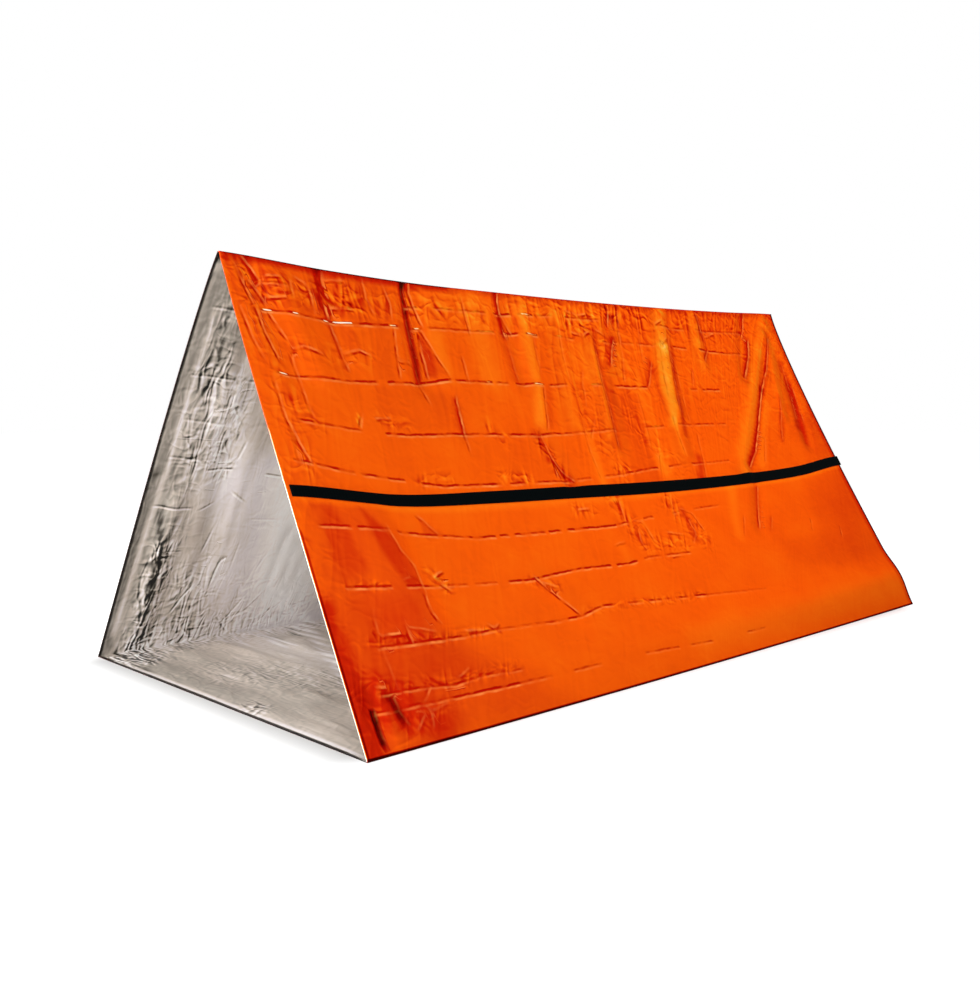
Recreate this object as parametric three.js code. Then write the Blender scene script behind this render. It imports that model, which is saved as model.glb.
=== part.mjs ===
// Emergency bivy tube tent. One open-ended tube of metallised film is pitched as a
// triangular shelter with its own floor, and a plain black band runs along the slope
// that shows. Millimetres, +Z up, +Y from the front opening to the rear one, +X towards
// the slope with the band. The origin is on the ground, under the middle of the tent.

import * as THREE from 'three';

// Driving sizes of the pitched tube
const FLOOR_WIDTH = 1220;
const FLOOR_LENGTH = 2400;
const RIDGE_HEIGHT = 1046;
const FILM_THICKNESS = 1.5;
const RIDGE_RADIUS = 4;
const RIDGE_FRONT_SET_BACK = 49;
const RIDGE_REAR_OVERHANG = 36;
const FLOOR_EDGE_BOW = 12;

// How far the ridge hangs below its front end, at nine places from the front to the rear
const RIDGE_SAG = [0, 17, 26, 26, 25, 21.5, 15.5, 6, -6];

// The band lies half-way down the film of the slope that shows. Its width is given at five
// places from the front opening to the rear one, where it is drawn in a little at the front.
const BAND_WIDTHS = [28, 35, 39, 37, 37];
const BAND_THICKNESS = 1.2;
const BAND_GAP = 0.3;
const BAND_FRONT_INSET = 10;
const BAND_TAIL = 9;
const BAND_LINE = 0.5;

// How each slope hangs, at even places from the front opening to the rear one. Drop is how
// far half-way down the film slips past half-way down the slope, as a share of the slope.
// Hollow is how far the film lies inside the straight slope, and minus is outside it.
const SEEN_SLOPE = {
  side: 1,
  drop: [0.011, 0.037, 0.039, 0.041, 0.045, 0.047, 0.046, 0.041, 0.023],
  hollow: [8, 24, 30, 28, 22],
};
const FAR_SLOPE = {
  side: -1,
  drop: [0.01, 0.03, 0.035, 0.03, 0.02],
  hollow: [-16, 8, 22, 20, 10],
};
const HOLLOW_LEAN = 0.62;
const FOOT_FLARE = 12;
const FOOT_PLACE = 0.9;
const FOOT_REACH = 0.1;

// Main folds of the slope that shows. Each runs from one place on the film to another, given
// as distance from the film's front edge and distance down the film from the ridge. Front and
// rear are the widths of its two sides, and height is out from the film, or minus for in.
const SEEN_FOLDS = [
  { name: 'fan at the front corner', from: [62, 25], to: [110, 300], front: 45, rear: 60, height: -5 },
  { name: 'crest beside it', from: [150, 60], to: [200, 300], front: 50, rear: 60, height: 4 },
  { name: 'front pleat', from: [270, 15], to: [266, 250], front: 40, rear: 70, height: -6 },
  { name: 'great pleat', from: [548, 10], to: [503, 272], front: 45, rear: 100, height: -11 },
  { name: 'short pleat', from: [604, 330], to: [590, 420], front: 40, rear: 65, height: -5 },
  { name: 'middle pleat', from: [893, 10], to: [878, 245], front: 40, rear: 75, height: -6 },
  { name: 'slanting pleat', from: [882, 430], to: [920, 570], front: 50, rear: 60, height: -6 },
  { name: 'first crest', from: [990, 40], to: [905, 400], front: 50, rear: 45, height: 6 },
  { name: 'second crest', from: [1130, 60], to: [1035, 400], front: 50, rear: 55, height: 5 },
  { name: 'third crest', from: [1264, 120], to: [1172, 460], front: 45, rear: 50, height: 5 },
  { name: 'long trough', from: [1292, 120], to: [1200, 470], front: 40, rear: 50, height: -5 },
  { name: 'pit', from: [1382, 70], to: [1322, 200], front: 45, rear: 50, height: -7 },
  { name: 'bright crest', from: [1668, 10], to: [1545, 340], front: 55, rear: 65, height: 9 },
  { name: 'its foot', from: [1540, 340], to: [1488, 500], front: 50, rear: 60, height: 6 },
  { name: 'fourth crest', from: [1860, 15], to: [1810, 190], front: 50, rear: 55, height: 6 },
  { name: 'rear trough', from: [2185, 20], to: [2050, 235], front: 45, rear: 50, height: -6 },
  { name: 'rear crest', from: [2270, 100], to: [1780, 570], front: 70, rear: 60, height: 9 },
  { name: 'trough beside it', from: [2308, 95], to: [1812, 555], front: 45, rear: 50, height: -7 },
  { name: 'fan at the rear corner', from: [2318, 50], to: [2170, 390], front: 50, rear: 50, height: 6 },
  { name: 'trough beside it', from: [2330, 200], to: [2255, 510], front: 45, rear: 50, height: -5 },
  { name: 'low diagonal', from: [1805, 640], to: [1700, 780], front: 50, rear: 50, height: -4 },
  { name: 'dark pane edge', from: [226, 690], to: [272, 920], front: 170, rear: 60, height: 8 },
  { name: 'low slanting crease', from: [647, 856], to: [738, 970], front: 50, rear: 60, height: -4 },
  { name: 'front foot pleat', from: [50, 1060], to: [50, 1182], front: 35, rear: 40, height: -7 },
  { name: 'second foot pleat', from: [104, 1090], to: [114, 1155], front: 35, rear: 45, height: -5 },
];

// Main folds of the far slope, most of which show from inside the tube
const FAR_FOLDS = [
  { name: 'fan at the front corner', from: [90, 50], to: [150, 420], front: 45, rear: 55, height: -5 },
  { name: 'front crumple', from: [98, 690], to: [106, 1150], front: 50, rear: 55, height: -8 },
  { name: 'crest beside it', from: [205, 520], to: [250, 930], front: 60, rear: 60, height: 7 },
  { name: 'first pleat', from: [380, 30], to: [340, 420], front: 45, rear: 70, height: -7 },
  { name: 'second pleat', from: [700, 30], to: [650, 330], front: 45, rear: 80, height: -8 },
  { name: 'first crest', from: [980, 60], to: [900, 480], front: 55, rear: 60, height: 6 },
  { name: 'long trough', from: [1240, 60], to: [1150, 600], front: 50, rear: 60, height: -6 },
  { name: 'second crest', from: [1500, 40], to: [1420, 520], front: 55, rear: 60, height: 7 },
  { name: 'third pleat', from: [1780, 40], to: [1720, 380], front: 50, rear: 65, height: -7 },
  { name: 'rear crest', from: [2250, 70], to: [1850, 560], front: 65, rear: 60, height: 8 },
  { name: 'rear trough', from: [2330, 150], to: [2080, 620], front: 50, rear: 50, height: -6 },
  { name: 'low pane edge', from: [900, 760], to: [1250, 1040], front: 120, rear: 80, height: 6 },
];

// Folds fade out this close to the ridge, the floor and the two openings
const FADE_AT_RIDGE = 22;
const FADE_AT_OPENING = 55;
const FADE_AT_FLOOR = 60;

// Mesh steps: along the tube, round the ridge, across the floor and down each slope
const LENGTH_STEPS = 48;
const MIDDLE_CROWDING = 0.22;
const RIDGE_STEPS = 3;
const FLOOR_STEPS = 8;
const SEEN_SHARES_ABOVE_BAND = [0.06, 0.12, 0.18, 0.24, 0.3, 0.36, 0.42, 0.46];
const SEEN_SHARES_BELOW_BAND = [0.54, 0.59, 0.66, 0.73, 0.8, 0.86, 0.92, 0.97, 1];
const FAR_SHARES = [0.07, 0.15, 0.23, 0.31, 0.39, 0.48, 0.57, 0.66, 0.75, 0.84, 0.93, 1];

const SLOPE_LENGTH = Math.hypot(FLOOR_WIDTH / 2, RIDGE_HEIGHT);
const HALF_APEX_ANGLE = Math.atan2(FLOOR_WIDTH / 2, RIDGE_HEIGHT);
const RIDGE_CENTRE_DROP = RIDGE_RADIUS / Math.sin(HALF_APEX_ANGLE);
const SHARP_RIDGE_HEIGHT = RIDGE_HEIGHT - RIDGE_RADIUS + RIDGE_CENTRE_DROP;
const RIDGE_SHARE = RIDGE_RADIUS / Math.tan(HALF_APEX_ANGLE) / SLOPE_LENGTH;
const FLOOR_FRONT_Y = -(FLOOR_LENGTH + RIDGE_REAR_OVERHANG) / 2;

const FILM_FINISH = { color: 0xf4590a, roughness: 0.34, metalness: 0.25 };
const BAND_FINISH = { color: 0x0a0d0f, roughness: 0.85, metalness: 0 };

// Half a cosine wave, from 1 in the middle to 0 at the given reach
function bell(distance, reach) {
  return 0.5 + 0.5 * Math.cos(Math.PI * Math.min(1, Math.abs(distance) / reach));
}

// A value read from a smooth curve through values that are set evenly along the tube
function alongTube(values, t) {
  const curve = new THREE.SplineCurve(values.map((value, index) => new THREE.Vector2(index, value)));
  return curve.getPoint(t).y;
}

// Sharp ridge line, sagging between its two ends
function ridgePoint(t) {
  const run = FLOOR_LENGTH + RIDGE_REAR_OVERHANG - RIDGE_FRONT_SET_BACK;
  const y = FLOOR_FRONT_Y + RIDGE_FRONT_SET_BACK + run * t;
  return new THREE.Vector3(0, y, SHARP_RIDGE_HEIGHT - alongTube(RIDGE_SAG, t));
}

// Long edge of the floor, bowed a little outwards
function floorEdgePoint(side, t) {
  const x = side * (FLOOR_WIDTH / 2 + FLOOR_EDGE_BOW * Math.sin(Math.PI * t));
  return new THREE.Vector3(x, FLOOR_FRONT_Y + FLOOR_LENGTH * t, 0);
}

// Outward direction of a straight slope
function slopeNormal(side) {
  return new THREE.Vector3(side * RIDGE_HEIGHT, 0, FLOOR_WIDTH / 2).normalize();
}

// Height of one fold at a place on the film
function foldHeight(fold, along, down) {
  const runAlong = fold.to[0] - fold.from[0];
  const runDown = fold.to[1] - fold.from[1];
  const length = Math.hypot(runAlong, runDown);
  const fromStart = [along - fold.from[0], down - fold.from[1]];
  const onward = (fromStart[0] * runAlong + fromStart[1] * runDown) / length;
  const sideways = (fromStart[0] * runDown - fromStart[1] * runAlong) / length;
  const past = Math.max(0, -onward, onward - length);
  const reach = sideways < 0 ? fold.front : fold.rear;
  return fold.height * bell(sideways, reach) * bell(past, (fold.front + fold.rear) / 2);
}

// Height of all folds of a slope, faded out at its edges
function foldsHeight(folds, t, share) {
  const along = FLOOR_LENGTH * t;
  const down = SLOPE_LENGTH * share;
  const total = folds.reduce((sum, fold) => sum + foldHeight(fold, along, down), 0);
  const ridgeFade = 1 - bell(down, FADE_AT_RIDGE);
  const openingFade = 1 - bell(Math.min(along, FLOOR_LENGTH - along), FADE_AT_OPENING);
  const floorFade = 1 - bell(SLOPE_LENGTH - down, FADE_AT_FLOOR);
  return total * ridgeFade * openingFade * floorFade;
}

// Outer surface of a slope: t runs from the front to the rear, share from the ridge down
function slopePoint(slope, folds, t, share) {
  const drop = alongTube(slope.drop, t) * Math.sin(Math.PI * share);
  const point = ridgePoint(t).lerp(floorEdgePoint(slope.side, t), share + drop);
  const hollow = alongTube(slope.hollow, t) * Math.sin(Math.PI * Math.pow(share, HOLLOW_LEAN));
  const flare = FOOT_FLARE * t * t * bell(share - FOOT_PLACE, FOOT_REACH);
  const out = foldsHeight(folds, t, share) + flare - hollow;
  return point.addScaledVector(slopeNormal(slope.side), out);
}

// A row is a line along the tube: its outer point for each t, and the step to its inner point
function slopeRow(slope, folds, share) {
  const shareAt = typeof share === 'function' ? share : () => share;
  const point = (t) => slopePoint(slope, folds, t, shareAt(t));
  const inward = slopeNormal(slope.side).multiplyScalar(-FILM_THICKNESS);
  if (share === 1) {
    const floorAngle = Math.PI / 2 - HALF_APEX_ANGLE;
    inward.set(-slope.side * FILM_THICKNESS / Math.tan(floorAngle / 2), 0, FILM_THICKNESS);
  }
  return { point, inward };
}

// Rows round the ridge, on an arc between the two slopes
function ridgeRow(step) {
  const spread = Math.PI / 2 - HALF_APEX_ANGLE;
  const angle = spread - (2 * spread * step) / RIDGE_STEPS;
  const out = new THREE.Vector3(Math.sin(angle), 0, Math.cos(angle));
  const point = (t) => {
    const centre = ridgePoint(t);
    centre.z -= RIDGE_CENTRE_DROP;
    return centre.addScaledVector(out, RIDGE_RADIUS);
  };
  return { point, inward: out.clone().multiplyScalar(-FILM_THICKNESS) };
}

// Rows across the floor, which lies flat on the ground
function floorRow(step) {
  const point = (t) => {
    const from = floorEdgePoint(FAR_SLOPE.side, t);
    return from.lerp(floorEdgePoint(SEEN_SLOPE.side, t), step / FLOOR_STEPS);
  };
  return { point, inward: new THREE.Vector3(0, 0, FILM_THICKNESS) };
}

// Shares of the slope at the upper edge, the middle and the lower edge of the band
function bandShares() {
  return [-1, 0, 1].map((edge) => (t) => BAND_LINE + (edge * alongTube(BAND_WIDTHS, t)) / 2 / SLOPE_LENGTH);
}

// All rows in order: across the floor, up the seen slope, over the ridge, down the far slope
function tubeRows() {
  const seenShares = [RIDGE_SHARE, ...SEEN_SHARES_ABOVE_BAND, ...bandShares(), ...SEEN_SHARES_BELOW_BAND];
  const rows = [];
  for (let step = 1; step < FLOOR_STEPS; step++) {
    rows.push(floorRow(step));
  }
  for (const share of seenShares.reverse()) {
    rows.push(slopeRow(SEEN_SLOPE, SEEN_FOLDS, share));
  }
  for (let step = 1; step < RIDGE_STEPS; step++) {
    rows.push(ridgeRow(step));
  }
  for (const share of [RIDGE_SHARE, ...FAR_SHARES]) {
    rows.push(slopeRow(FAR_SLOPE, FAR_FOLDS, share));
  }
  return rows;
}

// Places along the tube: a short step at each opening, and closer steps in the middle
function tubeStations() {
  const stations = [0];
  const end = BAND_FRONT_INSET / FLOOR_LENGTH;
  for (let step = 0; step <= LENGTH_STEPS - 2; step++) {
    const even = step / (LENGTH_STEPS - 2);
    const crowded = even + (MIDDLE_CROWDING * Math.sin(2 * Math.PI * even)) / (2 * Math.PI);
    stations.push(end + (1 - 2 * end) * crowded);
  }
  stations.push(1);
  return stations;
}

// Two triangles for the four corners of a face, given in order round it and split from the
// first to the third. Faces that lie on each other are split alike, so they stay apart.
function addFace(indices, a, b, c, d) {
  indices.push(a, b, c, a, c, d);
}

// Geometry from a list of points and a list of corners
function meshGeometry(points, indices) {
  const geometry = new THREE.BufferGeometry();
  const positions = new Float32Array(points.flatMap((point) => point.toArray()));
  geometry.setAttribute('position', new THREE.BufferAttribute(positions, 3));
  geometry.setIndex(indices);
  geometry.computeVertexNormals();
  return geometry;
}

// The film tube: an outer and an inner surface, joined by a rim at each opening
function filmTube() {
  const rows = tubeRows();
  const stations = tubeStations();
  const outer = stations.flatMap((t) => rows.map((row) => row.point(t)));
  const inner = stations.flatMap((t) => rows.map((row) => row.point(t).add(row.inward)));
  const count = rows.length;
  const inside = outer.length;
  const lastStart = (stations.length - 1) * count;
  const indices = [];
  for (let row = 0; row < count; row++) {
    const next = (row + 1) % count;
    for (let start = 0; start < lastStart; start += count) {
      const [a, b, c, d] = [start + row, start + count + row, start + count + next, start + next];
      addFace(indices, a, b, c, d);
      addFace(indices, a + inside, d + inside, c + inside, b + inside);
    }
    addFace(indices, row, next, next + inside, row + inside);
    const last = lastStart + row;
    const lastNext = lastStart + next;
    addFace(indices, last, last + inside, lastNext + inside, lastNext);
  }
  return meshGeometry([...outer, ...inner], indices);
}

// Points round the band's section at one place, on the film's own rows
function bandSection(t, tail) {
  const normal = slopeNormal(SEEN_SLOPE.side);
  const lift = (share, height) => {
    const point = slopePoint(SEEN_SLOPE, SEEN_FOLDS, t, share(t));
    point.y += tail;
    return point.addScaledVector(normal, height);
  };
  const shares = bandShares().reverse();
  const under = shares.map((share) => lift(share, BAND_GAP));
  const over = shares.reverse().map((share) => lift(share, BAND_GAP + BAND_THICKNESS));
  return [...under, ...over];
}

// The band: a flat strip just off the film, with a short tail past the rear edge
function bandStrip() {
  const stations = tubeStations().slice(1);
  const sections = stations.map((t) => bandSection(t, 0));
  sections.push(bandSection(1, BAND_TAIL));
  const count = sections[0].length;
  const lastStart = (sections.length - 1) * count;
  const indices = [];
  for (let corner = 0; corner < count; corner++) {
    const next = (corner + 1) % count;
    for (let start = 0; start < lastStart; start += count) {
      const face = [start + corner, start + next, start + count + next, start + count + corner];
      if (corner >= count / 2) {
        face.push(face.shift());
      }
      addFace(indices, ...face);
    }
  }
  for (const [a, b, c, d] of [[0, 1, 4, 5], [1, 2, 3, 4]]) {
    addFace(indices, d, c, b, a);
    addFace(indices, lastStart + a, lastStart + b, lastStart + c, lastStart + d);
  }
  return meshGeometry(sections.flat(), indices);
}

function piece(name, geometry, finish) {
  const mesh = new THREE.Mesh(geometry, new THREE.MeshStandardMaterial(finish));
  mesh.name = name;
  return mesh;
}

const tent = new THREE.Group();
tent.name = 'emergency_bivy_tube_tent';
tent.add(piece('film_tube', filmTube(), FILM_FINISH));
tent.add(piece('slope_band', bandStrip(), BAND_FINISH));

export default tent;
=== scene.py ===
"""Emergency bivy tube tent, dressed for a studio picture.

One open-ended tube of metallised film is pitched as a triangular shelter with its own
floor. It is printed orange outside and silver inside, still carries the creases of its
pack, and has a plain matt black band along one slope. Blender units are metres, +Z is up,
and +Y runs from the front opening to the rear one. Tables are in millimetres: along is
the distance from the film's front edge, and down is the distance down the film from the
ridge.
"""

import logging
import math
from collections.abc import Callable
from dataclasses import dataclass, field
from enum import Enum
from functools import partial
from typing import Any, NamedTuple

import bpy
import numpy as np
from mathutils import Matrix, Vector


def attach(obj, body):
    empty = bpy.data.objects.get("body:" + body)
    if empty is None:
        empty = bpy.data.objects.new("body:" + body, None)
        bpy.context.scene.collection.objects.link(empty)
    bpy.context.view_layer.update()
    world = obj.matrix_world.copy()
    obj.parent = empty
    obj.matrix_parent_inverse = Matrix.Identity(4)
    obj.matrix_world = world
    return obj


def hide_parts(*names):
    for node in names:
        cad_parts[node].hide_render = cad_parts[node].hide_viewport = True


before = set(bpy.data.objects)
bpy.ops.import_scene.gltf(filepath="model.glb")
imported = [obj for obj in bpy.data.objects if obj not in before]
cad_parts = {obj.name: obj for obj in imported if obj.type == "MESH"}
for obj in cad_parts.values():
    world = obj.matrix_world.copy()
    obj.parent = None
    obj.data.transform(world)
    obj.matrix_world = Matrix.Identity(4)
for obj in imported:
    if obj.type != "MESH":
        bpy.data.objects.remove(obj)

LOG = logging.getLogger("tube_tent")
MM = 0.001

Place = tuple[float, float]
Point = tuple[float, float, float]
Stops = tuple[tuple[float, str], ...]
Adder = Callable[..., Any]

# How far a streak fades out across it and past its ends, in half widths
STREAK_FADE = (1.6, 1.5)
# How far a sharp crease and a pressed run fade out past their ends, in mm
LINE_END, PRESS_END = 12, 9
# How far from a packing crease it still counts, in mm
PACK_REACH = 12
# The distance that stands for no crease near by, in mm
NO_CREASE = 30.0
# Length over which a wave texture of scale 1 repeats, in metres
WAVE_LENGTH = 2 * math.pi / 20


class Side(Enum):
    """The two slopes, by the sign of their X."""

    SEEN = 1
    FAR = -1


class Fold(NamedTuple):
    """A soft trough or crest, in mm: its reach to the front and the rear, its height out and its two ends."""

    name: str
    front: float
    rear: float
    height: float
    path: tuple[Place, ...]


class PackCrease(NamedTuple):
    """A packing crease along the film, in mm: where it is pressed in, by from, to and depth, and its path."""

    name: str
    pressed: tuple[Point, ...]
    path: tuple[Place, ...]


class Line(NamedTuple):
    """A sharp crease along a path of places, in mm, with its depth."""

    name: str
    depth: float
    path: tuple[Place, ...]


class Streak(NamedTuple):
    """A streak along a path, in mm: half its width, and its tone of painted light and shade from -1 to 1 or
    the crinkle that it adds.
    """

    name: str
    width: float
    tone: float
    path: tuple[Place, ...]


class Facet(NamedTuple):
    """A pane of film painted lighter or darker as one for the light it takes: the blur of its edge in mm, its
    tone, and its corners.
    """

    name: str
    blur: float
    tone: float
    path: tuple[Place, ...]


def table(kind: Any, *rows: tuple) -> tuple:
    """Makes typed rows.

    Args:
        kind: the rows' type, whose last field is the path.
        *rows: for each row its other fields in order, and then its places.

    Returns:
        The rows.
    """
    count = len(kind._fields) - 1
    return tuple(kind(*row[:count], row[count:]) for row in rows)


# Main folds of the slope that shows, the same as the solid's
SEEN_FOLDS = table(
    Fold,
    ("fan at the front corner", 45, 60, -5, (62, 25), (110, 300)),
    ("crest beside it", 50, 60, 4, (150, 60), (200, 300)),
    ("front pleat", 40, 70, -6, (270, 15), (266, 250)),
    ("great pleat", 45, 100, -11, (548, 10), (503, 272)),
    ("short pleat", 40, 65, -5, (604, 330), (590, 420)),
    ("middle pleat", 40, 75, -6, (893, 10), (878, 245)),
    ("slanting pleat", 50, 60, -6, (882, 430), (920, 570)),
    ("first crest", 50, 45, 6, (990, 40), (905, 400)),
    ("second crest", 50, 55, 5, (1130, 60), (1035, 400)),
    ("third crest", 45, 50, 5, (1264, 120), (1172, 460)),
    ("long trough", 40, 50, -5, (1292, 120), (1200, 470)),
    ("pit", 45, 50, -7, (1382, 70), (1322, 200)),
    ("bright crest", 55, 65, 9, (1668, 10), (1545, 340)),
    ("its foot", 50, 60, 6, (1540, 340), (1488, 500)),
    ("fourth crest", 50, 55, 6, (1860, 15), (1810, 190)),
    ("rear trough", 45, 50, -6, (2185, 20), (2050, 235)),
    ("rear crest", 70, 60, 9, (2270, 100), (1780, 570)),
    ("trough beside it", 45, 50, -7, (2308, 95), (1812, 555)),
    ("fan at the rear corner", 50, 50, 6, (2318, 50), (2170, 390)),
    ("trough beside it", 45, 50, -5, (2330, 200), (2255, 510)),
    ("low diagonal", 50, 50, -4, (1805, 640), (1700, 780)),
    ("dark pane edge", 170, 60, 8, (226, 690), (272, 920)),
    ("low slanting crease", 50, 60, -4, (647, 856), (738, 970)),
    ("front foot pleat", 35, 40, -7, (50, 1060), (50, 1182)),
    ("second foot pleat", 35, 45, -5, (104, 1090), (114, 1155)),
)

# Main folds of the far slope, the same as the solid's
FAR_FOLDS = table(
    Fold,
    ("fan at the front corner", 45, 55, -5, (90, 50), (150, 420)),
    ("front crumple", 50, 55, -8, (98, 690), (106, 1150)),
    ("crest beside it", 60, 60, 7, (205, 520), (250, 930)),
    ("first pleat", 45, 70, -7, (380, 30), (340, 420)),
    ("second pleat", 45, 80, -8, (700, 30), (650, 330)),
    ("first crest", 55, 60, 6, (980, 60), (900, 480)),
    ("long trough", 50, 60, -6, (1240, 60), (1150, 600)),
    ("second crest", 55, 60, 7, (1500, 40), (1420, 520)),
    ("third pleat", 50, 65, -7, (1780, 40), (1720, 380)),
    ("rear crest", 65, 60, 8, (2250, 70), (1850, 560)),
    ("rear trough", 50, 50, -6, (2330, 150), (2080, 620)),
    ("low pane edge", 120, 80, 6, (900, 760), (1250, 1040)),
)

# Packing creases, from the ridge down. The mesh has a row of its own on each.
PACK_CREASES = table(
    PackCrease,
    ("first fine",
     ((100, 160, 1.2), (540, 575, 2), (640, 830, 1), (875, 935, 2.4), (970, 1025, 2), (1050, 1110, 1),
      (1180, 1330, 1.2), (1640, 1780, 1.2), (1850, 2140, 1)),
     (0, 64), (600, 64), (980, 61), (1100, 55), (1330, 54), (1600, 62), (1930, 73), (2400, 76)),
    ("first",
     ((78, 102, 3), (108, 150, 1.2), (150, 172, 3), (178, 245, 1.2), (246, 270, 3), (272, 336, 3.4),
      (340, 455, 2.2), (452, 488, 3), (545, 570, 2.6), (600, 840, 1.1), (878, 935, 2.4), (975, 1020, 2),
      (1100, 1180, 1), (1330, 1390, 1), (1420, 1470, 1), (1500, 1590, 1.2), (1690, 1756, 1.8),
      (1830, 1872, 1.8), (1890, 1975, 1.7), (1975, 2085, 1.1)),
     (0, 141), (300, 138), (450, 129), (600, 122), (1000, 118), (1430, 122), (1700, 130), (2000, 151),
     (2400, 153)),
    ("second",
     ((70, 95, 3), (112, 350, 1.8), (395, 482, 2.8), (496, 612, 4.6), (632, 735, 1.6), (740, 762, 2.2),
      (785, 822, 1.4), (868, 918, 3.6), (925, 968, 2), (1000, 1065, 1.5), (1190, 1230, 1.4),
      (1300, 1450, 2), (1690, 1720, 1), (1756, 1852, 1.8)),
     (0, 308), (120, 306), (340, 290), (480, 282), (610, 268), (950, 272), (1200, 265), (1450, 269),
     (1800, 280), (2400, 288)),
    ("third",
     ((88, 125, 1.4), (128, 250, 1), (335, 592, 2.4), (596, 680, 1.3), (690, 725, 2), (755, 850, 1.8),
      (852, 1040, 2.2), (1050, 1210, 0.9), (1360, 1450, 1.2), (1530, 1600, 1), (1605, 1725, 1.3),
      (1750, 1795, 1)),
     (0, 421), (250, 425), (400, 428), (600, 421), (800, 425), (1000, 421), (1200, 408), (1550, 397),
     (1790, 402), (2400, 410)),
    ("fourth",
     ((48, 82, 2.2), (103, 192, 2), (216, 332, 1.7), (390, 484, 2), (490, 645, 2.2), (688, 735, 1.8),
      (780, 925, 1.6), (955, 1005, 1), (1075, 1150, 1.6), (1150, 1200, 2), (1218, 1325, 1.4),
      (1390, 1450, 1.3), (1510, 1570, 1.2), (1590, 1710, 1)),
     (0, 522), (150, 538), (330, 549), (450, 567), (900, 568), (1150, 554), (1300, 540), (1450, 534),
     (2400, 530)),
    ("fifth",
     ((60, 130, 2), (155, 228, 2), (266, 325, 1.5), (330, 402, 2), (400, 470, 1.3), (478, 555, 2),
      (580, 602, 1.8), (632, 732, 1.9), (758, 790, 2.8), (830, 1020, 2.2), (1040, 1070, 1.6),
      (1160, 1195, 1.2), (1300, 1325, 1), (1415, 1452, 1.7), (1455, 1540, 0.9)),
     (0, 684), (230, 685), (400, 701), (500, 714), (780, 717), (1000, 718), (1180, 701), (1430, 687),
     (2400, 680)),
    ("sixth",
     ((80, 122, 2.6), (122, 185, 2), (232, 268, 2.6), (270, 335, 1.6), (355, 405, 1.1), (440, 500, 0.9),
      (548, 650, 2.4), (668, 705, 1.6), (708, 925, 2.2), (958, 1038, 2.8), (1080, 1145, 1.1),
      (1178, 1285, 1.5)),
     (0, 832), (350, 832), (600, 848), (800, 837), (1000, 843), (1100, 830), (1280, 833), (2400, 850)),
    ("seventh",
     ((110, 192, 1.8), (188, 272, 2.6), (272, 452, 1.7), (460, 560, 0.8), (575, 690, 1),
      (695, 745, 1.7), (757, 862, 2), (935, 985, 1.4), (1022, 1062, 2), (1080, 1100, 1),
      (1135, 1180, 1.6), (1222, 1270, 2), (1275, 1560, 0.6)),
     (0, 977), (260, 971), (450, 967), (640, 976), (740, 975), (830, 957), (1040, 970), (1260, 984),
     (1600, 1010), (2400, 1050)),
    ("eighth",
     ((78, 120, 2.4), (138, 200, 1.7), (200, 272, 1.6), (276, 432, 1.6), (436, 472, 1)),
     (0, 1078), (200, 1079), (275, 1086), (360, 1077), (470, 1084), (800, 1086), (2400, 1100)),
    ("ninth",
     ((60, 105, 1.2), (125, 300, 1.5), (300, 450, 2.4), (450, 555, 1.2), (640, 730, 0.9),
      (915, 1040, 1.1), (1100, 1190, 1), (1370, 1460, 1)),
     (0, 1115), (300, 1116), (560, 1121), (900, 1122), (1180, 1138), (2400, 1150)),
)
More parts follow.
